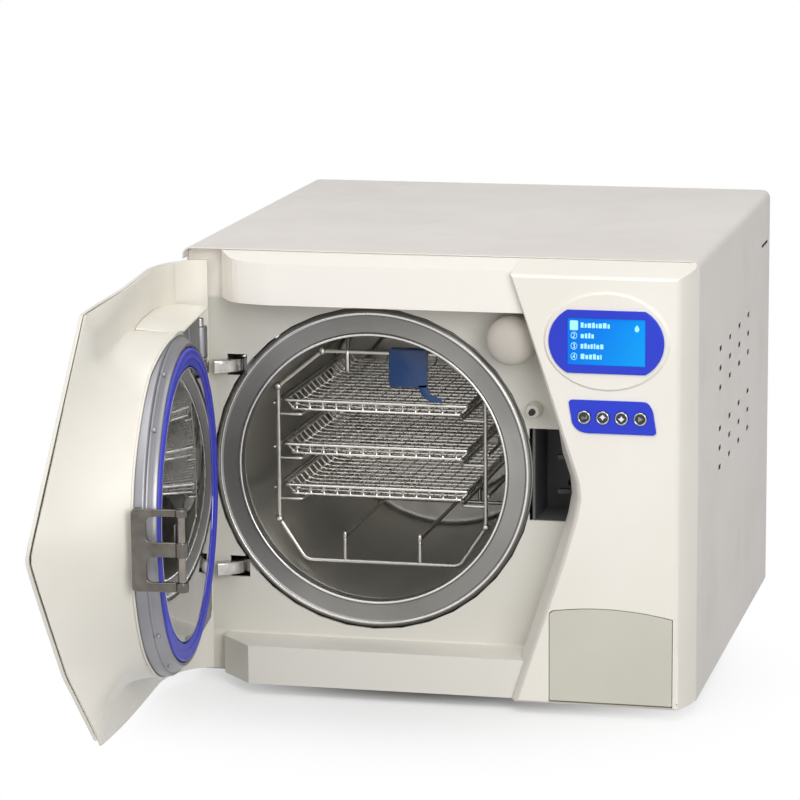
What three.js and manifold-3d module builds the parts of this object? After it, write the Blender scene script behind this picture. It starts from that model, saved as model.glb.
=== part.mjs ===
// A bench-top dental autoclave with its door standing open, as the pieces it comes apart into.
// Millimetres, +Z up, +Y towards the back. While the pieces are made, x is 0 at the left side,
// y is 0 at the front of the control column and z is 0 at the underside of the body.

import * as THREE from 'three';
import { mergeVertices } from 'three/addons/utils/BufferGeometryUtils.js';
import Module from 'manifold-3d';

const wasm = await Module();
wasm.setup();

// Fits
const seatGap = 0.3; // between pieces that rest on each other
const doorGap = 2.5; // round the closed door
const overrun = 6; // how far a cutter runs past what it cuts

// Chamber, which the body and the door are built round
const chamberRadius = 125;
const chamberDepth = 325;
const flangeRim = 24;
const flangeRadius = chamberRadius + flangeRim;
const leftRoom = 25.4; // between the flange and the left side
const underRoom = 50.3;
const chamberX = flangeRadius + leftRoom;
const chamberZ = flangeRadius + underRoom;
const panelY = 60; // front of the recess panel
const flangeProud = 0.4;
const flangeY = panelY + flangeProud; // the sealing face

// Body
const controlRoom = 156.6; // between the flange and the right side
const bodyWidth = chamberX + flangeRadius + controlRoom;
const headRoom = 56.7; // above the flange
const bodyHeight = chamberZ + flangeRadius + headRoom;
const rearRoom = 136.6; // behind the chamber
const bodyDepth = flangeY + chamberDepth + rearRoom;
const coverSheet = 1.2;
const coverFrontY = 43;
const coverCornerRadius = 8;
const hingeNotchY = 58; // the left side starts here, to clear the door's hinge edge
const hingeNotchDrop = 11;
const hingeNotchTopZ = bodyHeight - hingeNotchDrop;
const mouldWall = 3;
const footHeight = 8;
const footRadius = 16;
const footInset = 50;

// Louvres and the slit in the sides of the cover
const louvreLength = 16;
const louvreHeight = 5;
const louvreColumns = 4;
const louvreRows = 3;
const louvreFirstY = 182;
const louvreColumnPitch = 63;
const louvreRowPitch = 18.5;
const louvreUpperDrop = 103;
const louvreUpperZ = bodyHeight - louvreUpperDrop;
const louvreLowerDrop = 179;
const louvreLowerZ = bodyHeight - louvreLowerDrop;
const slitSetback = 59;
const slitY = bodyDepth - slitSetback;
const slitLength = 47;
const slitHeight = 3;
const slitDrop = 50;
const slitZ = bodyHeight - slitDrop;

// Front moulding: header above the door opening, plinth below, recess panel between
const headerFrontY = 9;
const headerClearance = 10.7; // above the flange
const headerBottomZ = chamberZ + flangeRadius + headerClearance;
const headerFrontDrop = 8;
const headerFrontTopZ = bodyHeight - headerFrontDrop;
const headerLeftX = 38;
const headerBendX = 52;
const headerBendY = 22;
const headerShoulderX = 69;
const headerShoulderY = 13;
const headerFlatX = 92;
const plinthFrontY = 12;
const plinthTopZ = 38;
const plinthBottomZ = 2;
const plinthFlatX = 66;
const plinthLeftX = 34;
const plinthSideY = 45;
const panelHoleGap = 3;
const panelHoleRadius = flangeRadius + panelHoleGap;
const slotMargin = 4;

// Control column: a moulding whose left edge points at the door
const columnTopDrop = 10;
const columnTopZ = bodyHeight - columnTopDrop;
const columnWidth = 163.5;
const columnTopX = bodyWidth - columnWidth;
const columnShoulderReach = 54.5;
const columnShoulderX = columnTopX + columnShoulderReach;
const columnShoulderRise = 30.7;
const columnShoulderZ = chamberZ + columnShoulderRise;
const columnNoseReach = 63.2;
const columnNoseX = columnTopX + columnNoseReach;
const columnNoseDrop = 6.3;
const columnNoseZ = chamberZ - columnNoseDrop;
const columnHipReach = 49.5;
const columnHipX = columnTopX + columnHipReach;
const columnHipDrop = 61.3;
const columnHipZ = chamberZ - columnHipDrop;
const columnFootReach = 5;
const columnFootX = columnTopX + columnFootReach;
const columnCorner = 12; // how far the front right corner is drawn in
const columnEdgeBevel = 2;
const recessLean = 14; // the recess wall leans this far to the left by the time it meets the panel
const recessUprightRise = 103.7;
const recessUprightZ = chamberZ + recessUprightRise; // from here up the wall stands square to the panel
const columnNoseSteps = 6;

// Display and keypad
const displayInset = 76;
const displayX = bodyWidth - displayInset;
const displayDrop = 67.5;
const displayZ = bodyHeight - displayDrop;
const screenWidth = 70;
const screenHeight = 42;
const screenFrontY = -3;
const bezelWidth = 104;
const bezelHeight = 57;
const bezelFlat = 70;
const bezelThickness = 1.5;
const bossWidth = 115;
const bossHeight = 90;
const bossRise = 2;
const keypadLeftReach = 34.5;
const keypadLeftX = displayX - keypadLeftReach;
const keypadRightReach = 45.5;
const keypadRightX = displayX + keypadRightReach;
const keypadDrop = 53;
const keypadTopZ = displayZ - keypadDrop;
const keypadHeight = 30.1;
const keypadBottomZ = keypadTopZ - keypadHeight;
const keypadThickness = 1.4;
const keypadLeftCut = 18; // the lower left corner is cut off by this much
const keypadLean = 3.5; // the right end leans out downwards
const buttonCount = 4;
const buttonInset = 14.5;
const buttonFirstX = keypadLeftX + buttonInset;
const buttonPitch = 16.9;
const buttonRise = 14.6;
const buttonZ = keypadBottomZ + buttonRise;
const buttonRadius = 6;
const buttonFrontY = -3.6;
const buttonDepth = 9;
const buttonTravel = 1;
const boardY = 14;
const boardThickness = 1.6;
const boardMargin = 9;

// Service flap at the foot of the column, and the tub behind it
const flapInset = 35.9;
const flapLeftX = columnTopX + flapInset;
const flapRightInset = 15.8;
const flapRightX = bodyWidth - flapRightInset;
const flapBottomZ = 5.6;
const flapLeftZ = 84.6;
const flapRightZ = 85.5;
const flapPeakReach = 47.6;
const flapPeakX = flapLeftX + flapPeakReach;
const flapPeakZ = 94;
const flapThickness = 3;
const flapSeam = 0.7;
const flapSwingRoom = 1.6; // under the flap, for its lower edge to swing through
const flapBarrelRadius = 2.1;
const flapPinRadius = 0.8;
const flapPinY = 2.4;
const flapPinZ = 7.4;
const flapPinReach = 5;
const tubDepth = 46;
const tubWall = 2;
const tubSeatShare = 0.6; // how far up the compartment its rim and the seats for it reach
const drainSpacing = 52;
const drainRadius = 7;
const drainLength = 26;
const drainZ = 42;

// Chamber
const chamberWall = 2.5;
const flangeThickness = 11;
const flangeCone = 1.1; // the face falls back by this much towards its rim
const flangeLip = 3.4;
const flangeLipRise = 1.4;
const backPlate = 4;
const backBossStep = 33;
const backBossRadius = chamberRadius - backBossStep;
const backBossRise = 3;
const jacketThickness = 18;
const jacketBack = 14;
const saddleThickness = 6;
const saddleWidthShare = 1.52; // of the chamber's radius
const saddleWidth = chamberRadius * saddleWidthShare;
const saddleFrontSetback = 59.6;
const saddleFrontY = flangeY + saddleFrontSetback;
const saddleRearInset = 55.4;
const saddleRearY = flangeY + chamberDepth - saddleRearInset;
const saddleFoot = 18;
const roundSteps = 36;

// Rack and trays in the chamber
const rackSetback = 36.6;
const rackFrontY = flangeY + rackSetback;
const rackRearGap = 17.4;
const rackRearY = flangeY + chamberDepth - rackRearGap;
const rackWireRadius = 2.4;
const rackHalfWidthShare = 0.792; // the rack's corners lie at these shares of the chamber's radius
const rackHalfWidth = chamberRadius * rackHalfWidthShare;
const rackTopRiseShare = 0.824; // above the chamber's middle
const rackTopRise = chamberRadius * rackTopRiseShare; // above the chamber's middle
const rackShoulderRiseShare = 0.544;
const rackShoulderRise = chamberRadius * rackShoulderRiseShare;
const rackHipDropShare = 0.472; // below the chamber's middle
const rackHipDrop = chamberRadius * rackHipDropShare; // below the chamber's middle
const rackBottomDropShare = 0.776;
const rackBottomDrop = chamberRadius * rackBottomDropShare;
const rackTopHalfShare = 0.448;
const rackTopHalf = chamberRadius * rackTopHalfShare;
const rackPostHalfShare = 0.288;
const rackPostHalf = chamberRadius * rackPostHalfShare;
const rackKnobRadius = 4;
const hangerOffset = -32;
const hangerDrop = 13;
const railWireRadius = 1.6;
const traySideGap = 10;
const trayWidth = 2 * (rackHalfWidth - traySideGap);
const trayFrontSetback = 3; // behind the rack's front loop
const trayRearSetback = 2;
const trayLength = rackRearY - rackFrontY - trayFrontSetback - trayRearSetback;
const trayDepth = 12;
const trayWall = 1.2;
const trayRimRadius = 1.7;
const traySlotRows = 4;
const traySlotColumns = 3;
const traySlotShare = 0.6; // of its pitch, for each slot in the floor of a tray
const trayTopRiseShare = 0.3496;
const trayTopZ = chamberZ + chamberRadius * trayTopRiseShare;
const trayMiddleRiseShare = 0.0136;
const trayMiddleZ = chamberZ + chamberRadius * trayMiddleRiseShare;
const trayBottomRiseShare = -0.2984;
const trayBottomZ = chamberZ + chamberRadius * trayBottomRiseShare;

// Tray lifter hung on the rack
const lifterInset = 8.6;
const lifterLeftX = chamberX + lifterInset;
const lifterWidth = 36.5;
const lifterRightX = lifterLeftX + lifterWidth;
const lifterHeight = 36;
const lifterThickness = 2;
const lifterStrapWidth = 9;
const lifterStrapReach = 14;
const lifterStrapDrop = 14;

// Door, in its own coordinates: u to the right of the hinge axis, w out of the closed door's
// back towards its front, z up
const hingeOutside = 9.2; // of the flange's rim
const hingeX = chamberX - flangeRadius - hingeOutside;
const hingeY = 41.1;
const doorOpenDegrees = 84.3;
const doorEdgeU = -13;
const doorEdgeW = -6;
const doorFrontW = 39;
const doorCornerU = 60; // where the rounded hinge side runs into the flat front
const doorTopDrop = 12.5;
const doorTopZ = bodyHeight - doorTopDrop;
const doorFootZ = 4;
const doorFootRise = 20; // the lower edge climbs this much to the free side
const doorWall = 3;
const linerWall = 2;
const doorNoseW = 87;
const doorTopEdgeW = 46;
const doorFootEdgeW = 39;
const doorHipW = 62;
const doorHipZ = 85;
const doorRampShare = 0.3; // where along the width the front starts to swell
const doorColumns = 16;
const doorRows = 12;
const linerBackW = 5.8;
const linerSteps = 32;
const linerRings = 6;
const linerHingeU = 9;
const linerInnerU = 24;

// Door carrier, its sealing disc and gasket
const carrierU = chamberX - hingeX;
const carrierOverlap = 9;
const carrierRadius = flangeRadius + carrierOverlap;
const carrierBackW = 5;
const carrierShoulderW = -8;
const carrierFaceW = -15;
const carrierBevel = 12;
const carrierFaceRadius = carrierRadius - carrierBevel;
const earTopInset = 0.3;
const earTopZ = chamberZ + flangeRadius - earTopInset;
const earBottomInset = 1.7;
const earBottomZ = chamberZ - flangeRadius + earBottomInset;
const earU = -7;
const gasketInset = 5;
const gasketWidth = 12;
const gasketOuterRadius = carrierFaceRadius - gasketInset;
const gasketInnerRadius = gasketOuterRadius - gasketWidth;
const gasketGroove = 3;
const gasketRise = 4;
const discGap = 1.5;
const discRadius = gasketInnerRadius - discGap;
const discThickness = 2;
const discCrown = 7;
const discRings = 4;

// Striker on the free side of the carrier
const strikerOutside = 12.8; // of the flange's rim
const strikerU = chamberX + flangeRadius + strikerOutside - hingeX;
const strikerThickness = 5;
const strikerFlatDepth = 8;
const strikerRise = 32.7;
const strikerTopZ = chamberZ + strikerRise;
const strikerDrop = 39.3;
const strikerBottomZ = chamberZ - strikerDrop;
const strikerReachW = -48;
const strikerFootW = 1;
const strikerWindow = 21;
const strikerWindowFromW = -12;
const strikerWindowToW = -37;
const strikerPinW = -42;
const strikerPinRadius = 3.4;
const strikerKnuckleRadius = 5.5;

// Hinge: fixed arms from the chassis, pins in their eyes, barrels on the door carrier
const armThickness = 12;
const armUpperRise = 88.2;
const armUpperZ = chamberZ + armUpperRise;
const armLowerDrop = 103.8;
const armLowerZ = chamberZ - armLowerDrop;
const armWidth = 11;
const armEyeRadius = 8;
const armKneeX = 19;
const armKneeY = 8;
const armBendX = 30;
const armBendY = 20;
const armRootY = 62;
const hingePinRadius = 4;
const hingeBarrelRadius = 7;
const hingeBarrelLength = 29;
const hingePinTip = 8;
const hingePinChamfer = 1;
const hingeCollarRadius = 6.5;
const hingeCollarHeight = 3;

// Latch behind the recess panel
const latchInset = 1.4; // behind the flange's rim
const latchLeftX = chamberX + flangeRadius - latchInset;
const latchWidth = 44;
const latchRightX = latchLeftX + latchWidth;
const latchDrop = 41.3;
const latchBottomZ = chamberZ - latchDrop;
const latchRise = 44.7;
const latchTopZ = chamberZ + latchRise;
const latchDepth = 62;
const latchInnerShift = 5;
const latchInnerLeftX = latchLeftX + latchInnerShift;
const latchInnerWidth = 46;
const latchInnerRightX = latchInnerLeftX + latchInnerWidth;
const latchWall = 2.5;
const latchShaftInset = 35.5;
const latchShaftX = latchLeftX + latchShaftInset;
const latchShaftSetback = 42;
const latchShaftY = panelY + latchShaftSetback;
const latchShaftRadius = 3;
const hookThickness = 4;
const hookUpperRise = 18.7;
const hookUpperZ = chamberZ + hookUpperRise;
const hookLowerDrop = 13.3;
const hookLowerZ = chamberZ - hookLowerDrop;
const hookRadius = 7;
const hookReach = 30;
const hookWidth = 7;
const hookBeak = 8;
const hookClearDegrees = 30;
const lockMotorRadius = 15;
const lockMotorLength = 34;

// Filter and door switch on the recess panel
const filterInset = 12.7; // behind the flange's rim
const filterX = chamberX + flangeRadius - filterInset;
const filterDrop = 29;
const filterZ = headerBottomZ - filterDrop;
const filterRadius = 24.5;
const filterFrontY = 20;
const filterRim = 5;
const filterStemRadius = 7;
const filterStemLength = 12;
const switchOutside = 4.1;
const switchX = chamberX + flangeRadius + switchOutside;
const switchRise = 18;
const switchZ = latchTopZ + switchRise;
const switchRadius = 8;
const switchFrontY = 46;
const plungerRadius = 2.6;
const plungerFrontY = 40;
const plungerTravel = 4;
const plungerLength = 34;

// Pieces inside the body
const trayFloor = 1.5; // sheet of the base
const trayFlange = 14;
const generatorInset = 65;
const generatorX = bodyWidth - generatorInset;
const generatorY = 200;
const generatorRadius = 42;
const generatorHeight = 150;
const pumpInset = 68;
const pumpX = bodyWidth - pumpInset;
const pumpY = 330;
const pumpLength = 110;
const pumpRadius = 34;
const pumpZ = 52;
const tankLeftX = 24;
const tankRightX = 300;
const tankGap = 26.6;
const tankFrontY = flangeY + chamberDepth + tankGap;
const tankRearInset = 22;
const tankRearY = bodyDepth - tankRearInset;
const tankDrop = 9.3;
const tankBottomZ = chamberZ - tankDrop;
const tankTopDrop = 27;
const tankTopZ = bodyHeight - tankTopDrop;
const tankWall = 2.5;
const shelfWidthShare = 0.9; // of the tank's width
const condenserX = 120;
const condenserSetback = 72;
const condenserY = bodyDepth - condenserSetback;
const condenserZ = 88;
const condenserWidth = 150;
const condenserHeight = 110;
const condenserFins = 6;
const finThickness = 2.5;
const coreRadius = 6;

// Rear panel and what it carries
const fanX = 100;
const fanZ = 92;
const fanSize = 92;
const fanDepth = 25;
const fanWall = 3;
const fanHubRadius = 16;
const fanBlades = 7;
const fanBladeTwist = 35;
const fanTipGap = 2;
const fanStrut = 3;
const inletInset = 80;
const inletX = bodyWidth - inletInset;
const inletZ = 300;
const inletWidth = 48;
const inletHeight = 28;
const inletDepth = 24;
const inletFlange = 3;
const ventRadius = 9;
const ventX = 250;
const ventZ = 120;

// Angles and counts
const halfTurn = Math.PI;
const quarterTurn = Math.PI / 2;
const wireSides = 6;
const roundSides = 16;

// Derived places that more than one piece uses
const rearY = bodyDepth;
const headerTopZ = bodyHeight - coverSheet;
const hubZ = chamberZ;
const openAngle = THREE.MathUtils.degToRad(doorOpenDegrees);
const vesselOuterRadius = chamberRadius + chamberWall;
const vesselBackY = flangeY + chamberDepth + backPlate;
const jacketRadius = vesselOuterRadius + seatGap + jacketThickness;
const jacketRearY = vesselBackY + seatGap + jacketBack;

// Geometry helpers

// Turns a geometry's faces outwards and keeps only merged positions.
function clean(geometry) {
  geometry.deleteAttribute('normal');
  geometry.deleteAttribute('uv');
  const merged = mergeVertices(geometry);
  const places = merged.attributes.position.array;
  const faces = merged.index.array;
  let volume = 0;
  const [a, b, c] = [new THREE.Vector3(), new THREE.Vector3(), new THREE.Vector3()];
  for (let i = 0; i < faces.length; i += 3) {
    a.fromArray(places, 3 * faces[i]);
    b.fromArray(places, 3 * faces[i + 1]);
    c.fromArray(places, 3 * faces[i + 2]);
    volume += a.dot(b.cross(c));
  }
  if (volume < 0) {
    for (let i = 0; i < faces.length; i += 3) [faces[i], faces[i + 1]] = [faces[i + 1], faces[i]];
  }
  return merged;
}

// A closed geometry as a solid that can be joined and cut.
function solid(geometry) {
  const merged = clean(geometry);
  return new wasm.Manifold(new wasm.Mesh({
    numProp: 3,
    vertProperties: new Float32Array(merged.attributes.position.array),
    triVerts: new Uint32Array(merged.index.array),
  }));
}

function geometryOf(body) {
  const mesh = body.getMesh();
  const geometry = new THREE.BufferGeometry();
  geometry.setAttribute('position', new THREE.BufferAttribute(new Float32Array(mesh.vertProperties), 3));
  geometry.setIndex(new THREE.BufferAttribute(new Uint32Array(mesh.triVerts), 1));
  geometry.computeVertexNormals();
  return geometry;
}

const join = (bodies) => bodies.reduce((whole, body) => whole.add(body));
const cut = (body, tools) => tools.reduce((whole, tool) => whole.subtract(tool), body);

// Each axis name gives the turn that carries a drawing in XY, pushed along Z, into place:
// 'x' takes (y, z) drawings pushed along x, 'y' takes (x, z) drawings, 'z' takes (x, y).
const turns = {
  x: new THREE.Matrix4().makeBasis(
    new THREE.Vector3(0, 1, 0), new THREE.Vector3(0, 0, 1), new THREE.Vector3(1, 0, 0)),
  y: new THREE.Matrix4().makeBasis(
    new THREE.Vector3(1, 0, 0), new THREE.Vector3(0, 0, 1), new THREE.Vector3(0, -1, 0)),
  z: new THREE.Matrix4(),
};

// A drawing pushed from one level to another along an axis.
function push(shape, axis, from, to, curveSteps = 10) {
  const geometry = new THREE.ExtrudeGeometry(shape, {
    depth: to - from, bevelEnabled: false, steps: 1, curveSegments: curveSteps,
  });
  geometry.translate(0, 0, axis === 'y' ? -to : from);
  geometry.applyMatrix4(turns[axis]);
  return solid(geometry);
}

function outline(points) {
  return new THREE.Shape(points.map(([x, y]) => new THREE.Vector2(x, y)));
}

function roundedRectangle(left, right, bottom, top, radius) {
  const shape = new THREE.Shape();
  shape.moveTo(left + radius, bottom);
  shape.lineTo(right - radius, bottom);
  shape.absarc(right - radius, bottom + radius, radius, -quarterTurn, 0);
  shape.lineTo(right, top - radius);
  shape.absarc(right - radius, top - radius, radius, 0, quarterTurn);
  shape.lineTo(left + radius, top);
  shape.absarc(left + radius, top - radius, radius, quarterTurn, halfTurn);
  shape.lineTo(left, bottom + radius);
  shape.absarc(left + radius, bottom + radius, radius, halfTurn, halfTurn + quarterTurn);
  return shape;
}

function block(x0, x1, y0, y1, z0, z1) {
  const geometry = new THREE.BoxGeometry(x1 - x0, y1 - y0, z1 - z0);
  geometry.translate((x0 + x1) / 2, (y0 + y1) / 2, (z0 + z1) / 2);
  return solid(geometry);
}

// A closed profile of [radius, height] points, turned about an axis through a centre.
function revolve(profile, axis, centre, steps = roundSides) {
  const points = profile.map(([radius, height]) => new THREE.Vector2(radius, height));
  const onAxis = profile[0][0] === 0 && profile[profile.length - 1][0] === 0;
  if (!onAxis) points.push(points[0].clone());
  const geometry = new THREE.LatheGeometry(points, steps);
  if (axis === 'z') geometry.rotateX(quarterTurn);
  if (axis === 'x') geometry.rotateZ(-quarterTurn);
  geometry.translate(...centre);
  return solid(geometry);
}

function cylinder(radius, axis, centre, from, to, steps = roundSides) {
  return revolve([[0, from], [radius, from], [radius, to], [0, to]], axis, centre, steps);
}

// A straight round bar between two points.
function bar(start, end, radius, sides = wireSides) {
  const from = new THREE.Vector3(...start);
  const along = new THREE.Vector3(...end).sub(from);
  const geometry = new THREE.CylinderGeometry(radius, radius, along.length(), sides);
  geometry.translate(0, along.length() / 2, 0);
  const turn = new THREE.Quaternion().setFromUnitVectors(
    new THREE.Vector3(0, 1, 0), along.clone().normalize());
  geometry.applyQuaternion(turn);
  geometry.translate(...start);
  return solid(geometry);
}

function ball(centre, radius, sides = wireSides) {
  const geometry = new THREE.SphereGeometry(radius, sides, sides);
  geometry.translate(...centre);
  return solid(geometry);
}

// A round wire round a flat closed loop of points: mitred sections joined end to end.
function wireLoop(points, normal, radius, sides = wireSides) {
  const places = points.map((point) => new THREE.Vector3(...point));
  const up = new THREE.Vector3(...normal);
  const count = places.length;
  const positions = [];
  const faces = [];
  places.forEach((place, i) => {
    const before = place.clone().sub(places[(i + count - 1) % count]).normalize();
    const after = places[(i + 1) % count].clone().sub(place).normalize();
    const side = before.clone().add(after).normalize().cross(up);
    const reach = radius / Math.sqrt((1 + before.dot(after)) / 2);
    for (let k = 0; k < sides; k += 1) {
      const angle = (2 * halfTurn * (k + 1 / 2)) / sides;
      const spot = place.clone()
        .addScaledVector(side, reach * Math.cos(angle))
        .addScaledVector(up, radius * Math.sin(angle));
      positions.push(spot.x, spot.y, spot.z);
      const next = ((i + 1) % count) * sides;
      const [a, b] = [i * sides + k, i * sides + ((k + 1) % sides)];
      const [c, d] = [next + k, next + ((k + 1) % sides)];
      faces.push(a, b, d, a, d, c);
    }
  });
  return solid(indexed(positions, faces));
}

function indexed(positions, faces) {
  const geometry = new THREE.BufferGeometry();
  geometry.setAttribute('position', new THREE.BufferAttribute(new Float32Array(positions), 3));
  geometry.setIndex(faces);
  return geometry;
}

// The flat face that closes a ring, wound the way the ring runs.
function capOf(ring, flat) {
  const drawing = ring.map((point) => new THREE.Vector2(point[flat[0]], point[flat[1]]));
  const ringTurn = Math.sign(THREE.ShapeUtils.area(drawing));
  return THREE.ShapeUtils.triangulateShape(drawing, []).map((face) => {
    const turn = Math.sign(THREE.ShapeUtils.area(face.map((i) => drawing[i])));
    return turn === ringTurn ? face : [face[0], face[2], face[1]];
  });
}

// Closed rings of points, all of one count, skinned one to the next, with flat ends.
// flat names the two coordinates in which the end faces are drawn.
function loft(rings, flat) {
  const count = rings[0].length;
  const faces = [];
  for (let ring = 0; ring + 1 < rings.length; ring += 1) {
    for (let i = 0; i < count; i += 1) {
      const j = (i + 1) % count;
      const [a, b] = [ring * count + i, ring * count + j];
      faces.push(a, b, b + count, a, b + count, a + count);
    }
  }
  const last = (rings.length - 1) * count;
  for (const [a, b, c] of capOf(rings[0], flat)) faces.push(a, c, b);
  for (const [a, b, c] of capOf(rings[rings.length - 1], flat)) faces.push(last + a, last + b, last + c);
  return solid(indexed(rings.flat(2), faces));
}

// A thin wall between two grids of points [row][column]; a wall that wraps has no side rims.
function sheet(front, back, wraps) {
  const [rows, columns] = [front.length, front[0].length];
  const across = wraps ? columns : columns - 1;
  const layer = rows * columns;
  const faces = [];
  const quad = (a, b, c, d) => faces.push(a, b, c, a, c, d);
  const at = (row, column) => row * columns + (column % columns);
  for (let row = 0; row + 1 < rows; row += 1) {
    for (let column = 0; column < across; column += 1) {
      const [a, b] = [at(row, column), at(row, column + 1)];
      const [c, d] = [at(row + 1, column + 1), at(row + 1, column)];
      quad(a, b, c, d);
      quad(layer + d, layer + c, layer + b, layer + a);
    }
  }
  for (let column = 0; column < across; column += 1) {
    const [a, b] = [at(0, column), at(0, column + 1)];
    const [c, d] = [at(rows - 1, column), at(rows - 1, column + 1)];
    quad(layer + a, layer + b, b, a);
    quad(c, d, layer + d, layer + c);
  }
  for (let row = 0; row + 1 < rows && !wraps; row += 1) {
    const [a, b] = [at(row, 0), at(row + 1, 0)];
    const [c, d] = [at(row, columns - 1), at(row + 1, columns - 1)];
    quad(a, b, layer + b, layer + a);
    quad(layer + c, layer + d, d, c);
  }
  return solid(indexed([...front.flat(2), ...back.flat(2)], faces));
}

// Materials
function finish(colour, roughness, metalness) {
  return new THREE.MeshStandardMaterial({ color: colour, roughness, metalness });
}

const finishes = {
  whitePaint: () => finish('#dcd8d0', 0.45, 0),
  ivoryMoulding: () => finish('#eeebe2', 0.4, 0),
  greyMoulding: () => finish('#cbc8bc', 0.45, 0),
  bluePrint: () => finish('#3346cf', 0.35, 0),
  blueScreen: () => finish('#1c9cf5', 0.2, 0),
  brushedSteel: () => finish('#a4a29e', 0.35, 1),
  polishedSteel: () => finish('#c9c9c9', 0.12, 1),
  wireSteel: () => finish('#8f8d88', 0.3, 1),
  castAluminium: () => finish('#a2a4ad', 0.45, 0.6),
  blueRubber: () => finish('#2a3c9c', 0.6, 0),
  blackPlastic: () => finish('#232323', 0.55, 0),
  bluePlastic: () => finish('#2858b4', 0.4, 0),
  insulation: () => finish('#c9c7bd', 0.9, 0),
  zincSheet: () => finish('#b4b4b0', 0.45, 0.8),
  tankPlastic: () => finish('#d9dcdc', 0.5, 0),
  greenBoard: () => finish('#1f5a3a', 0.5, 0),
  brass: () => finish('#b08a3c', 0.35, 1),
};

const autoclave = new THREE.Group();

function add(name, body, finishName, parent = autoclave) {
  const mesh = new THREE.Mesh(geometryOf(body), finishes[finishName]());
  mesh.name = name;
  parent.add(mesh);
  return mesh;
}

// Body

// The bent sheet over the top and both sides, with pressed louvre slots.
function wrapCover() {
  const ring = (inset) => {
    const radius = coverCornerRadius - inset;
    const [left, right, top] = [inset, bodyWidth - inset, bodyHeight - inset];
    const shape = new THREE.Shape();
    shape.moveTo(left, 0);
    shape.lineTo(right, 0);
    shape.lineTo(right, top - radius);
    shape.absarc(right - radius, top - radius, radius, 0, quarterTurn);
    shape.lineTo(left + radius, top);
    shape.absarc(left + radius, top - radius, radius, quarterTurn, halfTurn);
    shape.lineTo(left, 0);
    return shape.getPoints(5).map(({ x, y }) => [x, y]);
  };
  const outer = ring(0);
  const inner = ring(coverSheet).filter(([, z]) => z > 0);
  const wallEnd = [[bodyWidth - coverSheet, 0], [coverSheet, 0]];
  const outerOpen = outer.slice(1, outer.length - 1);
  const bend = outline([[0, 0], wallEnd[1], ...inner.reverse(), wallEnd[0], ...outerOpen]);
  const slots = [];
  for (const groupZ of [louvreUpperZ, louvreLowerZ]) {
    for (let row = 0; row < louvreRows; row += 1) {
      for (let column = 0; column < louvreColumns; column += 1) {
        const y = louvreFirstY + column * louvreColumnPitch;
        const z = groupZ - row * louvreRowPitch;
        slots.push(block(-overrun, bodyWidth + overrun,
          y - louvreLength / 2, y + louvreLength / 2, z - louvreHeight / 2, z + louvreHeight / 2));
      }
    }
  }
  slots.push(block(bodyWidth - overrun, bodyWidth + overrun,
    slitY, slitY + slitLength, slitZ - slitHeight / 2, slitZ + slitHeight / 2));
  slots.push(block(-overrun, coverCornerRadius / 2, coverFrontY - overrun, hingeNotchY,
    -overrun, hingeNotchTopZ));
  return cut(push(bend, 'y', coverFrontY, rearY), slots);
}

// The space under the cover at some inset from its outer face, from one depth to another.
function coverRoom(inset, frontY, backY) {
  const radius = coverCornerRadius - inset;
  const shape = new THREE.Shape();
  shape.moveTo(inset, -footHeight);
  shape.lineTo(bodyWidth - inset, -footHeight);
  shape.lineTo(bodyWidth - inset, bodyHeight - inset - radius);
  shape.absarc(bodyWidth - inset - radius, bodyHeight - inset - radius, radius, 0, quarterTurn);
  shape.lineTo(inset + radius, bodyHeight - inset);
  shape.absarc(inset + radius, bodyHeight - inset - radius, radius, quarterTurn, halfTurn);
  return push(shape, 'y', frontY, backY, 5);
}

const innerLeft = coverSheet + seatGap;
const innerRight = bodyWidth - coverSheet - seatGap;
const innerTop = bodyHeight - coverSheet - seatGap;

// The pan under everything: a floor with turned-up sides and back.
function baseTray() {
  const [front, rear] = [panelY + mouldWall + seatGap, rearY - coverSheet - seatGap];
  const pan = block(innerLeft, innerRight, front, rear, 0, trayFlange);
  const hollow = block(innerLeft + trayFloor, innerRight - trayFloor,
    front - overrun, rear - trayFloor, trayFloor, trayFlange + overrun);
  return pan.subtract(hollow);
}

function rearPanel() {
  const plate = block(innerLeft, innerRight, rearY - coverSheet, rearY, 0, innerTop);
  const fanHole = cylinder(fanSize / 2 - fanWall, 'y', [fanX, 0, fanZ],
    rearY - overrun, rearY + overrun);
  const inletHole = block(inletX - inletWidth / 2, inletX + inletWidth / 2,
    rearY - overrun, rearY + overrun, inletZ - inletHeight / 2, inletZ + inletHeight / 2);
  const ventHole = cylinder(ventRadius / 2, 'y', [ventX, 0, ventZ], rearY - overrun, rearY + overrun);
  return cut(plate, [fanHole, inletHole, ventHole]).intersect(
    coverRoom(coverSheet + seatGap, rearY - overrun, rearY + overrun));
}

// The left end of the header sweeps back to the cover in an S.
function headerPlan(inset, backY) {
  const rightX = columnShoulderX;
  const curve = new THREE.SplineCurve([
    new THREE.Vector2(headerLeftX + inset, coverFrontY),
    new THREE.Vector2(headerBendX + inset, headerBendY),
    new THREE.Vector2(headerShoulderX + inset, headerShoulderY + inset / 2),
    new THREE.Vector2(headerFlatX + inset, headerFrontY + inset),
  ]);
  const front = curve.getPoints(8).map(({ x, y }) => [x, y]);
  return outline([[headerLeftX + inset, backY], ...front, [rightX, headerFrontY + inset], [rightX, backY]]);
}

function header(inset, backY) {
  const [bottom, top] = [headerBottomZ + inset, headerTopZ - seatGap - inset];
  const side = outline([
    [headerFrontY - overrun, bottom], [backY, bottom], [backY, top], [coverFrontY, top],
    [headerFrontY, headerFrontTopZ - inset], [headerFrontY - overrun, headerFrontTopZ - inset],
  ]);
  const block0 = push(headerPlan(inset, backY), 'z', bottom, headerTopZ);
  return block0.intersect(push(side, 'x', 0, bodyWidth));
}

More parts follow.
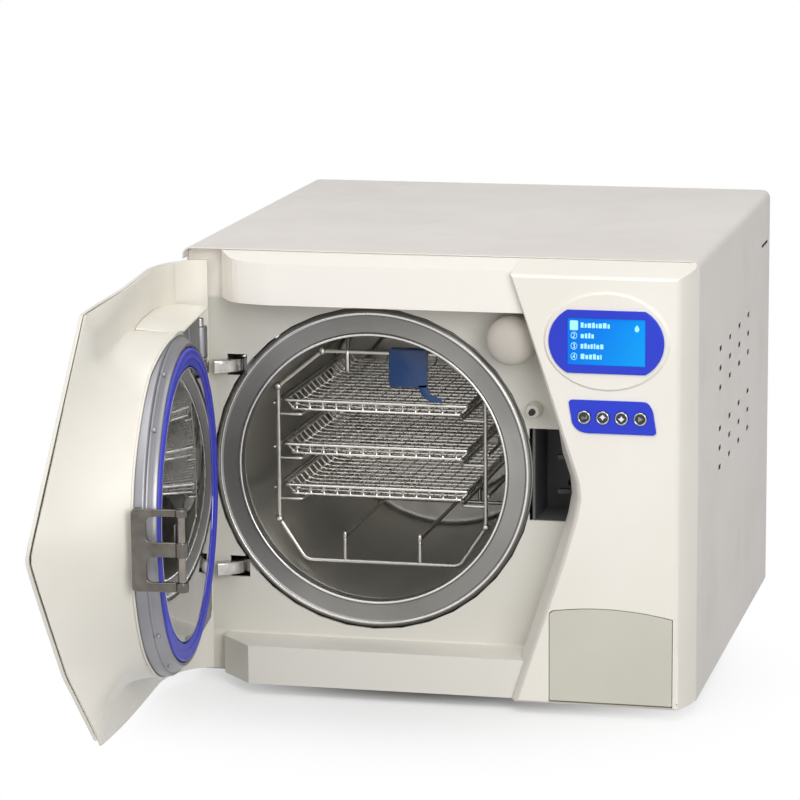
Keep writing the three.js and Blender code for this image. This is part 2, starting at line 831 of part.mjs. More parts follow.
function plinth(inset, backY) {
  const plan = outline([
    [plinthLeftX + inset, backY], [plinthLeftX + inset, plinthSideY],
    [plinthFlatX + inset, plinthFrontY + inset], [columnShoulderX, plinthFrontY + inset],
    [columnShoulderX, backY],
  ]);
  return push(plan, 'z', plinthBottomZ + inset, plinthTopZ - inset);
}

// Header, plinth and recess panel are one moulding, open at the back.
function frontFrame() {
  const backY = panelY + mouldWall;
  const panel = block(innerLeft, innerRight, panelY, backY, plinthBottomZ, innerTop);
  const shell = join([panel, header(0, panelY + mouldWall / 2), plinth(0, panelY + mouldWall / 2)]);
  const hollowBack = backY + overrun;
  const chamberHole = cylinder(panelHoleRadius, 'y', [chamberX, 0, chamberZ],
    panelY - overrun, hollowBack, roundSteps);
  const latchHole = block(latchLeftX, latchRightX, panelY - overrun, hollowBack,
    latchBottomZ, latchTopZ);
  const armHoles = [armUpperZ, armLowerZ].map((z) => {
    const middle = hingeX + armBendX;
    return block(middle - armWidth / 2 - slotMargin, middle + armWidth / 2 + slotMargin,
      panelY - overrun, hollowBack, z - slotMargin, z + armThickness + slotMargin);
  });
  const column = columnSolid(-seatGap, -overrun, panelY - seatGap);
  const boardBay = block(columnShoulderX + mouldWall, innerRight - boardMargin,
    panelY - overrun, hollowBack, flapPeakZ + boardMargin, displayZ + bezelHeight / 2);
  const tubBay = block(flapLeftX - tubWall - seatGap, flapRightX, panelY - overrun, hollowBack,
    flapBottomZ, flapPeakZ);
  const filterHole = cylinder(filterStemRadius + seatGap, 'y', [filterX, 0, filterZ],
    panelY - overrun, hollowBack);
  const plungerHole = cylinder(plungerRadius + seatGap, 'y', [switchX, 0, switchZ],
    panelY - overrun, hollowBack);
  return cut(shell, [header(mouldWall, hollowBack), plinth(mouldWall, hollowBack), chamberHole,
    latchHole, ...armHoles, column, boardBay, tubBay, filterHole, plungerHole])
    .intersect(coverRoom(coverSheet + seatGap, -overrun, hollowBack));
}

// Control column

// The column's left edge at its front plane, from foot to top: two straight runs and a rounded nose.
function columnLeftEdge() {
  const nose = new THREE.SplineCurve([
    new THREE.Vector2(columnHipX, columnHipZ),
    new THREE.Vector2(columnNoseX, columnNoseZ),
    new THREE.Vector2(columnShoulderX, columnShoulderZ),
  ]).getPoints(columnNoseSteps).map(({ x, y }) => [x, y]);
  const share = (recessUprightZ - columnShoulderZ) / (columnTopZ - columnShoulderZ);
  const upright = [columnShoulderX + share * (columnTopX - columnShoulderX), recessUprightZ];
  return [[columnFootX, plinthBottomZ], ...nose, upright, [columnTopX, columnTopZ]];
}

// Where that edge stands at a height.
function columnEdgeAt(z) {
  const edge = columnLeftEdge();
  const i = Math.max(1, edge.findIndex(([, top]) => top > z));
  const [lowX, lowZ] = edge[i - 1];
  const [highX, highZ] = edge[i];
  return lowX + ((z - lowZ) / (highZ - lowZ)) * (highX - lowX);
}

// One section of the column: it widens to the left and at the right corner with depth.
function columnRing(inset, y, shapeY, tucked) {
  const lean = 1 - (1 - Math.min(1, Math.max(0, shapeY) / plinthSideY)) ** 2;
  const corner = (1 - Math.min(1, Math.max(0, shapeY) / coverFrontY)) ** 2;
  const climb = Math.min(1, Math.max(0, shapeY) / coverFrontY);
  const right = tucked ? innerRight : bodyWidth - columnCorner * corner;
  const top = tucked ? innerTop : columnTopZ + (headerTopZ - columnTopZ) * climb;
  const edge = columnLeftEdge();
  const left = edge.map(([x, z], i) => [x - (z < recessUprightZ ? recessLean * lean : 0) + inset, y,
    i === 0 ? z + inset : z]);
  const topLeft = left[left.length - 1];
  topLeft[2] = top - inset;
  return [...left, [right - inset, y, top - inset], [right - inset, y, plinthBottomZ + inset]];
}

function columnSolid(inset, frontY, backY) {
  const bevel = inset === 0 ? columnEdgeBevel : 0;
  const rings = [columnRing(inset + bevel, frontY, frontY, false)];
  const depths = [1 / 8, 1 / 3, 2 / 3].map((share) => share * coverFrontY);
  for (const y of [columnEdgeBevel, ...depths]) {
    if (y > frontY) rings.push(columnRing(inset, y, y, false));
  }
  rings.push(columnRing(inset, coverFrontY - seatGap, coverFrontY - seatGap, false));
  rings.push(columnRing(inset, coverFrontY - seatGap, coverFrontY - seatGap, true));
  rings.push(columnRing(inset, backY, backY, true));
  return loft(rings, [0, 2]);
}

function ellipseRing(width, height, y) {
  const ring = [];
  for (let i = 0; i < 2 * roundSides; i += 1) {
    const angle = (halfTurn * i) / roundSides;
    ring.push([displayX + (width / 2) * Math.cos(angle), y, displayZ + (height / 2) * Math.sin(angle)]);
  }
  return ring;
}

// The raised oval on which the display sits.
function displayBoss() {
  return loft([
    ellipseRing(bossWidth - 2 * bossRise, bossHeight - 2 * bossRise, -bossRise),
    ellipseRing(bossWidth, bossHeight, 0),
    ellipseRing(bossWidth, bossHeight, mouldWall / 2),
  ], [0, 2]);
}

function flapOutline(margin, footMargin = margin) {
  const [left, right] = [flapLeftX - margin, flapRightX + margin];
  const shape = new THREE.Shape();
  shape.moveTo(left, flapBottomZ - footMargin);
  shape.lineTo(right, flapBottomZ - footMargin);
  shape.lineTo(right, flapRightZ + margin);
  shape.quadraticCurveTo(flapPeakX + tubWall + flapPeakX / tubDepth, flapPeakZ + flapThickness + margin,
    left + flapPeakZ - flapLeftZ, flapLeftZ + flapPinReach + margin);
  shape.quadraticCurveTo(left + margin, flapLeftZ + flapPinReach + margin, left, flapLeftZ + margin);
  return shape;
}

const buttonXs = Array.from({ length: buttonCount }, (_, i) => buttonFirstX + i * buttonPitch);
const boardLeft = keypadLeftX + boardMargin / 2;
const boardRight = keypadRightX - boardMargin / 2;
const boardBottom = keypadBottomZ;
const boardTop = displayZ + bezelHeight / 2;
const boardPostXs = [boardLeft + boardMargin / 2, boardRight - boardMargin / 2];
const boardPostZs = [boardBottom + boardMargin / 3, boardTop - boardMargin / 3];

function controlFascia() {
  const hollow = columnSolid(mouldWall, mouldWall, panelY + overrun);
  const shell = columnSolid(0, 0, panelY - seatGap).subtract(hollow);
  const posts = boardPostXs.flatMap((x) => boardPostZs.map((z) => cylinder(
    mouldWall, 'y', [x, 0, z], mouldWall / 2, boardY - seatGap, wireSides)));
  const ears = [flapLeftX - flapSeam - flapPinReach, flapRightX + flapSeam].map((x) => block(
    x, x + flapPinReach, mouldWall / 2, 2 * mouldWall,
    plinthBottomZ + mouldWall / 2, flapLeftZ * tubSeatShare));
  const screenHole = block(displayX - screenWidth / 2 - seatGap, displayX + screenWidth / 2 + seatGap,
    -overrun, 2 * mouldWall, displayZ - screenHeight / 2 - seatGap, displayZ + screenHeight / 2 + seatGap);
  const buttonHoles = buttonXs.map((x) => cylinder(buttonRadius + seatGap, 'y', [x, 0, buttonZ],
    -overrun, 2 * mouldWall));
  const flapHole = push(flapOutline(flapSeam, flapSwingRoom), 'y', -overrun, 2 * mouldWall);
  const pinHole = cylinder(flapPinRadius + seatGap, 'x', [0, flapPinY, flapPinZ],
    flapLeftX - flapPinReach, flapRightX + flapPinReach, wireSides * 2);
  const room = join([coverRoom(0, -overrun, coverFrontY - seatGap),
    coverRoom(coverSheet + seatGap, coverFrontY - overrun, panelY)]);
  return cut(join([shell, displayBoss(), ...posts, ...ears]),
    [screenHole, ...buttonHoles, flapHole, pinHole]).intersect(room);
}

// The flap has a barrel along its lower edge that turns on a thin pin.
function serviceFlap() {
  const plate = push(flapOutline(0), 'y', 0, flapThickness);
  const barrel = cylinder(flapBarrelRadius, 'x', [0, flapPinY, flapPinZ],
    flapLeftX, flapRightX, wireSides * 2);
  const bore = cylinder(flapPinRadius + seatGap, 'x', [0, flapPinY, flapPinZ],
    flapLeftX - overrun, flapRightX + overrun, wireSides * 2);
  return plate.add(barrel).subtract(bore);
}

function flapHingePin() {
  return cylinder(flapPinRadius, 'x', [0, flapPinY, flapPinZ],
    flapLeftX - flapPinReach + seatGap, flapRightX + flapPinReach - seatGap, wireSides * 2);
}

const tubFrontY = 2 * mouldWall + seatGap;
const tubRearY = tubFrontY + tubDepth;
const tubFloorZ = flapPinZ + 2 * flapBarrelRadius + seatGap;

function serviceCompartment() {
  const [left, right] = [flapLeftX + tubWall, flapRightX - tubWall];
  const outer = block(left, right, tubFrontY, tubRearY, tubFloorZ, flapLeftZ);
  const rim = block(flapLeftX - flapSeam - tubWall, flapRightX + flapSeam + tubWall,
    tubFrontY, tubFrontY + tubWall, tubFloorZ, flapLeftZ * tubSeatShare);
  const inner = block(left + tubWall, right - tubWall, tubFrontY - overrun, tubRearY - tubWall,
    tubFloorZ + tubWall, flapLeftZ - tubWall);
  return outer.add(rim).subtract(inner);
}

// A ribbed drain nozzle with a hexagon collar, pointing forwards.
function drainValve(x) {
  const back = tubRearY - tubWall - seatGap;
  const front = back - drainLength;
  const stem = drainRadius * 0.55;
  const neck = [[0, front], [stem, front], [stem, back - drainLength / 4],
    [drainRadius, back - drainLength / 4], [drainRadius, back], [0, back]];
  const rib = (share) => {
    const y = front + share * drainLength;
    const height = drainLength / 12;
    return revolve([[0, y - height], [stem, y - height], [stem * 1.25, y], [stem, y + height],
      [0, y + height]], 'y', [x, 0, drainZ], wireSides * 2);
  };
  return join([revolve(neck, 'y', [x, 0, drainZ], wireSides * 2), rib(0.2), rib(0.45)]);
}

// Display and keypad

function displayBezel() {
  const [half, high] = [bezelFlat / 2, bezelHeight / 2];
  const bulge = bezelWidth - bezelFlat;
  const shape = new THREE.Shape();
  shape.moveTo(displayX - half, displayZ - high);
  shape.lineTo(displayX + half, displayZ - high);
  shape.quadraticCurveTo(displayX + half + bulge, displayZ, displayX + half, displayZ + high);
  shape.lineTo(displayX - half, displayZ + high);
  shape.quadraticCurveTo(displayX - half - bulge, displayZ, displayX - half, displayZ - high);
  const back = -bossRise - seatGap;
  const plate = push(shape, 'y', back - bezelThickness, back);
  return plate.subtract(block(displayX - screenWidth / 2 - seatGap, displayX + screenWidth / 2 + seatGap,
    -overrun, overrun, displayZ - screenHeight / 2 - seatGap, displayZ + screenHeight / 2 + seatGap));
}

function displayScreen() {
  return block(displayX - screenWidth / 2, displayX + screenWidth / 2, screenFrontY, boardY - seatGap,
    displayZ - screenHeight / 2, displayZ + screenHeight / 2);
}

function keypad() {
  const round = keypadLeftCut / 2;
  const shape = new THREE.Shape();
  shape.moveTo(keypadLeftX + keypadLeftCut, keypadBottomZ);
  shape.lineTo(keypadRightX, keypadBottomZ);
  shape.lineTo(keypadRightX - keypadLean, keypadTopZ - round);
  shape.quadraticCurveTo(keypadRightX - keypadLean - round / 3, keypadTopZ,
    keypadRightX - keypadLean - round, keypadTopZ);
  shape.lineTo(keypadLeftX, keypadTopZ);
  shape.lineTo(keypadLeftX + keypadLean, keypadBottomZ + round);
  shape.quadraticCurveTo(keypadLeftX + keypadLean + round / 2, keypadBottomZ,
    keypadLeftX + keypadLeftCut, keypadBottomZ);
  const plate = push(shape, 'y', -seatGap - keypadThickness, -seatGap, 5);
  return cut(plate, buttonXs.map((x) => cylinder(buttonRadius + seatGap, 'y', [x, 0, buttonZ],
    -overrun, overrun)));
}

// A button has a slightly domed face and a collar that keeps it behind the moulding.
function button(x) {
  const back = buttonFrontY + buttonDepth;
  const collar = mouldWall + seatGap;
  const profile = [[0, buttonFrontY], [buttonRadius * 0.75, buttonFrontY],
    [buttonRadius, buttonFrontY + buttonTravel], [buttonRadius, collar],
    [buttonRadius + buttonTravel, collar], [buttonRadius + buttonTravel, back], [0, back]];
  return revolve(profile, 'y', [x, 0, buttonZ]);
}

function controlBoard() {
  const plate = block(boardLeft, boardRight, boardY, boardY + boardThickness, boardBottom, boardTop);
  const switches = buttonXs.map((x) => cylinder(buttonRadius / 2, 'y', [x, 0, buttonZ],
    buttonFrontY + buttonDepth + buttonTravel + seatGap, boardY + boardThickness / 2, wireSides * 2));
  return join([plate, ...switches]);
}

// Filter, door switch and latch on the recess panel

function bacterialFilter() {
  const back = panelY - seatGap;
  const dome = filterRadius * 0.45;
  const profile = [[0, filterFrontY]];
  for (let i = 1; i <= 5; i += 1) {
    const angle = (quarterTurn * i) / 5;
    profile.push([(filterRadius - filterRim / 3) * Math.sin(angle),
      filterFrontY + dome * (1 - Math.cos(angle))]);
  }
  profile.push([filterRadius - filterRim / 3, back - filterRim], [filterRadius, back - filterRim],
    [filterRadius, back], [filterStemRadius, back], [filterStemRadius, back + filterStemLength],
    [0, back + filterStemLength]);
  return revolve(profile, 'y', [filterX, 0, filterZ], roundSteps - wireSides * 2);
}

function doorSwitchBoss() {
  const back = panelY - seatGap;
  const bore = plungerRadius + seatGap;
  return revolve([[bore, switchFrontY], [switchRadius * 0.75, switchFrontY], [switchRadius, back],
    [bore, back]], 'y', [switchX, 0, switchZ]);
}

function doorSwitchPlunger() {
  const tip = plungerRadius / 3;
  return revolve([[0, plungerFrontY], [plungerRadius - tip, plungerFrontY],
    [plungerRadius, plungerFrontY + tip], [plungerRadius, plungerFrontY + plungerLength],
    [0, plungerFrontY + plungerLength]], 'y', [switchX, 0, switchZ], wireSides * 2);
}

const latchFrontY = panelY + mouldWall + seatGap;

function latchHousing() {
  const [left, right] = [latchInnerLeftX - latchWall, latchInnerRightX + latchWall];
  const outer = block(left, right, latchFrontY, latchFrontY + latchDepth,
    latchBottomZ - latchWall, latchTopZ + latchWall);
  const inner = block(latchInnerLeftX, latchInnerRightX, latchFrontY - overrun,
    latchFrontY + latchDepth - latchWall, latchBottomZ, latchTopZ);
  const shaftHole = cylinder(latchShaftRadius + seatGap, 'z', [latchShaftX, latchShaftY, 0],
    latchBottomZ - overrun, latchTopZ + overrun, wireSides * 2);
  return cut(outer, [inner, shaftHole]);
}

function latchShaft() {
  return cylinder(latchShaftRadius, 'z', [latchShaftX, latchShaftY, 0],
    latchBottomZ - latchWall, latchTopZ + latchWall + lockMotorRadius / 2, wireSides * 2);
}

// A hook drawn as it lies when locked, round the shaft, then turned back to where it is clear.
function latchHook(z) {
  const eye = new THREE.Shape();
  eye.absarc(0, 0, hookRadius, 0, 2 * halfTurn);
  const knee = -hookReach / 3;
  const arm = outline([[hookWidth / 2, 0], [-hookWidth / 2, 0], [knee - hookWidth / 2, -hookReach],
    [knee - 2 * hookBeak, -hookReach + hookWidth / 2], [knee - 2 * hookBeak - hookWidth / 3,
      -hookReach - hookWidth / 6], [knee, -hookReach - hookWidth], [knee + hookWidth / 2, -hookReach]]);
  const hook = push(eye, 'z', 0, hookThickness).add(push(arm, 'z', 0, hookThickness));
  const bored = hook.subtract(cylinder(latchShaftRadius + seatGap, 'z', [0, 0, 0],
    -overrun, hookThickness + overrun, wireSides * 2));
  return bored.rotate([0, 0, hookClearDegrees]).translate([latchShaftX, latchShaftY, z - hookThickness / 2]);
}

function lockMotor() {
  const bottom = latchTopZ + latchWall + seatGap;
  const bore = latchShaftRadius + seatGap;
  const body = cylinder(lockMotorRadius, 'z', [latchShaftX, latchShaftY, 0], bottom,
    bottom + lockMotorLength);
  return body.subtract(cylinder(bore, 'z', [latchShaftX, latchShaftY, 0], bottom - overrun,
    bottom + lockMotorRadius / 2 + seatGap, wireSides * 2));
}

// Chamber

// The drawn vessel: a tube with a flat back that has a raised round boss inside.
function chamberVessel() {
  const front = flangeY + flangeThickness + seatGap;
  const back = flangeY + chamberDepth;
  const profile = [[0, back - backBossRise], [backBossRadius, back - backBossRise],
    [backBossRadius + backBossRise, back], [chamberRadius - backBossRise, back],
    [chamberRadius, back - backBossRise], [chamberRadius, front], [vesselOuterRadius, front],
    [vesselOuterRadius, vesselBackY - backPlate], [vesselOuterRadius - backPlate, vesselBackY],
    [0, vesselBackY]];
  return revolve(profile, 'y', [chamberX, 0, chamberZ], roundSteps);
}

// The flange has a slightly coned face, a proud inner lip and two lugs for the hinge arms.
function chamberFlange() {
  const back = flangeY + flangeThickness;
  const profile = [[chamberRadius, flangeY - flangeLipRise + flangeLip / 4],
    [chamberRadius + flangeLip / 4, flangeY - flangeLipRise],
    [chamberRadius + flangeLip, flangeY - flangeLipRise], [chamberRadius + flangeLip, flangeY],
    [gasketOuterRadius + 2 * flangeCone, flangeY], [flangeRadius, flangeY + flangeCone],
    [flangeRadius, back], [chamberRadius, back]];
  const ring = revolve(profile, 'y', [chamberX, 0, chamberZ], roundSteps);
  const bore = cylinder(chamberRadius + flangeLip, 'y', [chamberX, 0, chamberZ], 0, rearY, roundSteps);
  const lugX = hingeX + armBendX + armWidth / 2 + seatGap;
  const lugs = [armUpperZ, armLowerZ].map((z) => block(lugX, chamberX - chamberRadius / 2,
    panelY + mouldWall + 2 * seatGap, back, z, z + armThickness).subtract(bore));
  return join([ring, ...lugs]);
}

function insulationJacket() {
  const front = flangeY + flangeThickness + 2 * mouldWall;
  const inner = vesselOuterRadius + seatGap;
  const profile = [[inner, front], [jacketRadius, front], [jacketRadius, jacketRearY],
    [0, jacketRearY], [0, vesselBackY + seatGap], [inner, vesselBackY + seatGap]];
  const turned = [...profile.slice(4), ...profile.slice(0, 4)];
  return revolve(turned, 'y', [chamberX, 0, chamberZ], roundSteps);
}

// A folded plate cut to the jacket's curve, with feet on the base.
function saddle(y) {
  const floor = trayFloor + seatGap;
  const half = saddleWidth / 2;
  const web = block(chamberX - half, chamberX + half, y, y + saddleThickness, floor, chamberZ);
  const foot = block(chamberX - half, chamberX + half, y, y + saddleFoot, floor, floor + saddleThickness);
  const seat = cylinder(jacketRadius + seatGap, 'y', [chamberX, 0, chamberZ],
    y - overrun, y + saddleFoot + overrun, roundSteps);
  return join([web, foot]).subtract(seat);
}

// Rack and trays

const flatsRadius = chamberRadius * Math.cos(halfTurn / roundSteps);
const rackBottomReach = flatsRadius - seatGap - rackWireRadius;
const rackFootHalf = Math.sqrt(rackBottomReach ** 2 - rackBottomDrop ** 2);

function rackOutline(y) {
  const half = [
    [rackFootHalf, -rackBottomDrop], [rackHalfWidth, -rackHipDrop],
    [rackHalfWidth, rackShoulderRise], [rackTopHalf, rackTopRise],
  ];
  const left = half.map(([x, z]) => [-x, z]).reverse();
  return [...half, ...left].map(([x, z]) => [chamberX + x, y, chamberZ + z]);
}

const trayZs = [trayTopZ, trayMiddleZ, trayBottomZ];
const railX = trayWidth / 2 - 2 * railWireRadius;

function rail(side, z) {
  const level = z - railWireRadius - seatGap;
  const [outX, inX] = [chamberX + side * rackHalfWidth, chamberX + side * railX];
  return join([
    bar([outX, rackFrontY, level], [inX, rackFrontY, level], railWireRadius),
    bar([inX, rackFrontY - railWireRadius, level], [inX, rackRearY + railWireRadius, level], railWireRadius),
    bar([inX, rackRearY, level], [outX, rackRearY, level], railWireRadius),
  ]);
}

// Two bent wire hoops, four long wires, posts, knobs and the rails under the trays, all welded.
function trayRack() {
  const hoops = [rackFrontY, rackRearY].map((y) => wireLoop(rackOutline(y), [0, 1, 0], rackWireRadius));
  const corners = rackOutline(rackFrontY);
  const longWires = [0, 3, 4, 7].map((i) => bar(corners[i],
    [corners[i][0], rackRearY, corners[i][2]], rackWireRadius));
  const knobs = corners.slice(2, 6).map((place) => ball(place, rackKnobRadius));
  const footZ = chamberZ - rackBottomDrop;
  const topZ = chamberZ + rackTopRise;
  const posts = [-rackPostHalf, rackPostHalf].map((x) => bar([chamberX + x, rackFrontY, footZ],
    [chamberX + x, rackFrontY, footZ + 2 * hangerDrop], rackWireRadius));
  const hanger = bar([chamberX + hangerOffset, rackFrontY, topZ],
    [chamberX + hangerOffset, rackFrontY, topZ - hangerDrop], rackWireRadius);
  const rails = trayZs.flatMap((z) => [-1, 1].map((side) => rail(side, z)));
  return join([...hoops, ...longWires, ...knobs, ...posts, hanger, ...rails]);
}

// A pressed tray with a slotted floor and a wire rolled into its rim.
function tray(z) {
  const [left, right] = [chamberX - trayWidth / 2, chamberX + trayWidth / 2];
  const front = rackFrontY + trayFrontSetback;
  const rear = front + trayLength;
  const pan = block(left, right, front, rear, z, z + trayDepth);
  const hollow = block(left + trayWall, right - trayWall, front + trayWall, rear - trayWall,
    z + trayWall, z + trayDepth + overrun);
  const rimZ = z + trayDepth - trayRimRadius;
  const inset = trayRimRadius;
  const rim = wireLoop([[left + inset, front + inset, rimZ], [right - inset, front + inset, rimZ],
    [right - inset, rear - inset, rimZ], [left + inset, rear - inset, rimZ]], [0, 0, 1], trayRimRadius);
  const [columnPitch, rowPitch] = [trayWidth / traySlotColumns, trayLength / traySlotRows];
  const slots = [];
  for (let row = 0; row < traySlotRows; row += 1) {
    for (let column = 0; column < traySlotColumns; column += 1) {
      const [x, y] = [left + (column + 1 / 2) * columnPitch, front + (row + 1 / 2) * rowPitch];
      const [halfX, halfY] = [columnPitch * traySlotShare / 2, rowPitch * traySlotShare / 2];
      slots.push(block(x - halfX, x + halfX, y - halfY, y + halfY, z - overrun, z + trayDepth));
    }
  }
  return cut(pan, [hollow, ...slots]).add(rim);
}

// The lifter is a bent plate that hangs by a hook over the rack's top wire; its strap sweeps
// down to the right.
function trayLifter() {
  const back = rackFrontY - rackWireRadius - seatGap;
  const front = back - lifterThickness;
  const barZ = chamberZ + rackTopRise;
  const top = barZ + rackWireRadius + seatGap + lifterThickness;
  const bottom = top - lifterHeight;
  const hookDepth = 2 * (rackWireRadius + seatGap) + lifterThickness;
  const plate = push(roundedRectangle(lifterLeftX, lifterRightX, bottom, top, lifterThickness),
    'y', front, back, 4);
  const roof = block(lifterLeftX + lifterThickness, lifterRightX - lifterThickness, front, back + hookDepth,
    top - lifterThickness, top);
  const lip = block(lifterLeftX + lifterThickness, lifterRightX - lifterThickness,
    back + hookDepth - lifterThickness, back + hookDepth, barZ, top);
  const strap = new THREE.Shape();
  strap.moveTo(lifterRightX - lifterStrapWidth, bottom + lifterThickness);
  strap.quadraticCurveTo(lifterRightX - lifterStrapWidth, bottom - lifterStrapDrop,
    lifterRightX + lifterStrapReach, bottom - lifterStrapDrop);
  strap.lineTo(lifterRightX + lifterStrapReach, bottom - lifterStrapDrop + lifterStrapWidth / 2);
  strap.quadraticCurveTo(lifterRightX, bottom - lifterStrapDrop + lifterStrapWidth / 2,
    lifterRightX, bottom + lifterThickness);
  return join([plate, roof, lip, push(strap, 'y', front, back, 6)]);
}

// Door, drawn closed about its hinge axis: x is u, y is -w

const doorFreeU = (z) => columnEdgeAt(Math.min(columnTopZ, Math.max(plinthBottomZ, z))) - doorGap - hingeX;

// How far the free edge stands out at a height: a low point at each end and a nose between.
function doorFreeW(z) {
  const knots = [[doorFootZ, doorFootEdgeW], [doorHipZ, doorHipW], [columnNoseZ, doorNoseW],
    [doorTopZ, doorTopEdgeW]];
  const i = Math.min(knots.length - 1, Math.max(1, knots.findIndex(([top]) => top >= z)));
  const [lowZ, lowW] = knots[i - 1];
  const [highZ, highW] = knots[i];
  return lowW + ((z - lowZ) / (highZ - lowZ)) * (highW - lowW);
}

const smooth = (t) => t * t * (3 - 2 * t);
const clampShare = (t) => Math.min(1, Math.max(0, t));

// The outer skin's stand-out at (u, z): a quarter ellipse at the hinge side, then a front that
// swells towards the free edge.
function doorSkinW(u, z) {
  if (u < doorCornerU) {
    const across = 1 - (u - doorEdgeU) / (doorCornerU - doorEdgeU);
    return doorEdgeW + (doorFrontW - doorEdgeW) * Math.sqrt(Math.max(0, 1 - across * across));
  }
  const share = (u - doorCornerU) / (doorFreeU(z) - doorCornerU);
  const ramp = smooth(clampShare((share - doorRampShare) / (1 - doorRampShare)));
  return doorFrontW + (doorFreeW(z) - doorFrontW) * ramp;
}

const doorCornerColumns = 6;

function doorShellGrids() {
  const front = [];
  const back = [];
  for (let row = 0; row <= doorRows; row += 1) {
    const line = [];
    for (let column = 0; column <= doorColumns; column += 1) {
      const inCorner = column <= doorCornerColumns;
      const turn = quarterTurn * Math.min(1, column / doorCornerColumns);
      const run = inCorner ? 0 : (column - doorCornerColumns) / (doorColumns - doorCornerColumns);
      const cornerU = doorEdgeU + (doorCornerU - doorEdgeU) * (1 - Math.cos(turn));
      const reach = (cornerU - doorEdgeU + run * (doorFreeU(columnNoseZ) - doorCornerU))
        / (doorFreeU(columnNoseZ) - doorEdgeU);
      const foot = doorFootZ + doorFootRise * reach ** 2;
      const z = foot + (doorTopZ - foot) * (row / doorRows);
      const u = inCorner ? cornerU : doorCornerU + run * (doorFreeU(z) - doorCornerU);
      const w = inCorner ? doorEdgeW + (doorFrontW - doorEdgeW) * Math.sin(turn) : doorSkinW(u, z);
      line.push([u, -w, z]);
    }
    front.push(line);
    back.push(line.map(([u, y, z], column) => {
      const before = line[Math.max(0, column - 1)];
      const after = line[Math.min(doorColumns, column + 1)];
      const [du, dy] = [after[0] - before[0], after[1] - before[1]];
      const length = Math.hypot(du, dy);
      return [u - (doorWall * dy) / length, y + (doorWall * du) / length, z];
    }));
  }
  return [front, back];
}

function doorShell() {
  const [front, back] = doorShellGrids();
  return sheet(front, back, false);
}

// The inner face of the shell at (u, z), as a stand-out.
function doorInnerW(u, z) {
  const step = doorWall;
  const slope = (doorSkinW(u + step, z) - doorSkinW(u, z)) / step;
  return doorSkinW(u, z) - doorWall * Math.hypot(1, Math.max(0, slope));
}

// The liner's outer edge, just inside the shell's edge, as a list of [u, z].
function linerEdge() {
  const sideSteps = linerSteps / 4;
  const margin = 2 * seatGap;
  const bottomZ = (u) => {
    const reach = (u - doorEdgeU) / (doorFreeU(columnNoseZ) - doorEdgeU);
    return doorFootZ + doorFootRise * reach ** 2 + margin;
  };
  const footU = doorFreeU(doorFootZ + doorFootRise) - margin;
  const topU = doorFreeU(doorTopZ) - margin;
  const topZ = doorTopZ - margin;
  const edge = [];
  for (let i = 0; i < sideSteps; i += 1) {
    const u = linerHingeU + (footU - linerHingeU) * (i / sideSteps);
    edge.push([u, bottomZ(u)]);
  }
  for (let i = 0; i < sideSteps; i += 1) {
    const z = bottomZ(footU) + (topZ - bottomZ(footU)) * (i / sideSteps);
    edge.push([doorFreeU(z) - margin, z]);
  }
  for (let i = 0; i < sideSteps; i += 1) edge.push([topU + (linerHingeU - topU) * (i / sideSteps), topZ]);
  for (let i = 0; i < sideSteps; i += 1) {
    edge.push([linerHingeU, topZ + (bottomZ(linerHingeU) - topZ) * (i / sideSteps)]);
  }
  return edge;
}

// From the carrier's rim the liner rises at once on three sides, to cover the header and the
// plinth, and as an open bowl towards the free side. Each ring has a share of the way out, and
// shares of the rise on the steep sides and on the bowl side.
const linerRingShares = [
  [0, 0, 0], [0.01, 0.6, 0.06], [0.03, 1, 0.14], [0.3, 1, 0.55], [0.62, 1, 0.82],
  [0.88, 1, 0.95], [1, 1, 1],
];
const bowlStartShare = 0.66; // cosine of the bearing where the bowl begins
const bowlFullShare = 0.92;

function linerFaceGrid() {
  const bandW = doorFrontW - doorWall - linerWall - 3 * seatGap;
  return linerRingShares.map(([out, steep, bowl]) => linerEdge().map(([u, z]) => {
    const [du, dz] = [u - carrierU, z - chamberZ];
    const length = Math.hypot(du, dz);
    const bowlness = smooth(clampShare((du / length - bowlStartShare) / (bowlFullShare - bowlStartShare)));
    const startRadius = carrierRadius - linerWall / 2;
    const startU = Math.max(linerInnerU, carrierU + (startRadius * du) / length);
    const startZ = chamberZ + (startRadius * dz) / length;
    const rise = steep + (bowl - steep) * bowlness;
    const [ringU, ringZ] = [startU + (u - startU) * out, startZ + (z - startZ) * out];
    const level = Math.min(bandW, doorInnerW(ringU, ringZ) - linerWall - 3 * seatGap);
    const edgeW = doorInnerW(u, z) - linerWall - 3 * seatGap;
    const sweep = out ** (6 - 4.4 * bowlness);
    const w = linerBackW + (level - linerBackW) * rise + (edgeW - level) * sweep;
    return [ringU, -w, ringZ];
  }));
}

// The liner's back is its face moved by the wall along the surface's normal.
function doorLiner() {
  const face = linerFaceGrid();
  const columns = linerSteps;
  const back = face.map((line, row) => line.map((place, column) => {
    const inner = new THREE.Vector3(...face[Math.max(0, row - 1)][column]);
    const outer = new THREE.Vector3(...face[Math.min(face.length - 1, row + 1)][column]);
    const before = new THREE.Vector3(...line[(column + columns - 1) % columns]);
    const after = new THREE.Vector3(...line[(column + 1) % columns]);
    const normal = outer.sub(inner).cross(after.sub(before)).normalize();
    return new THREE.Vector3(...place).addScaledVector(normal, linerWall).toArray();
  }));
  return sheet(face, back, true);
}

const barrelUpperZ = armUpperZ + armThickness + seatGap + hingeCollarHeight + seatGap;
const barrelLowerZ = armLowerZ - seatGap - hingeCollarHeight - seatGap - hingeBarrelLength;
const carrierFlatU = strikerU - strikerFlatDepth;

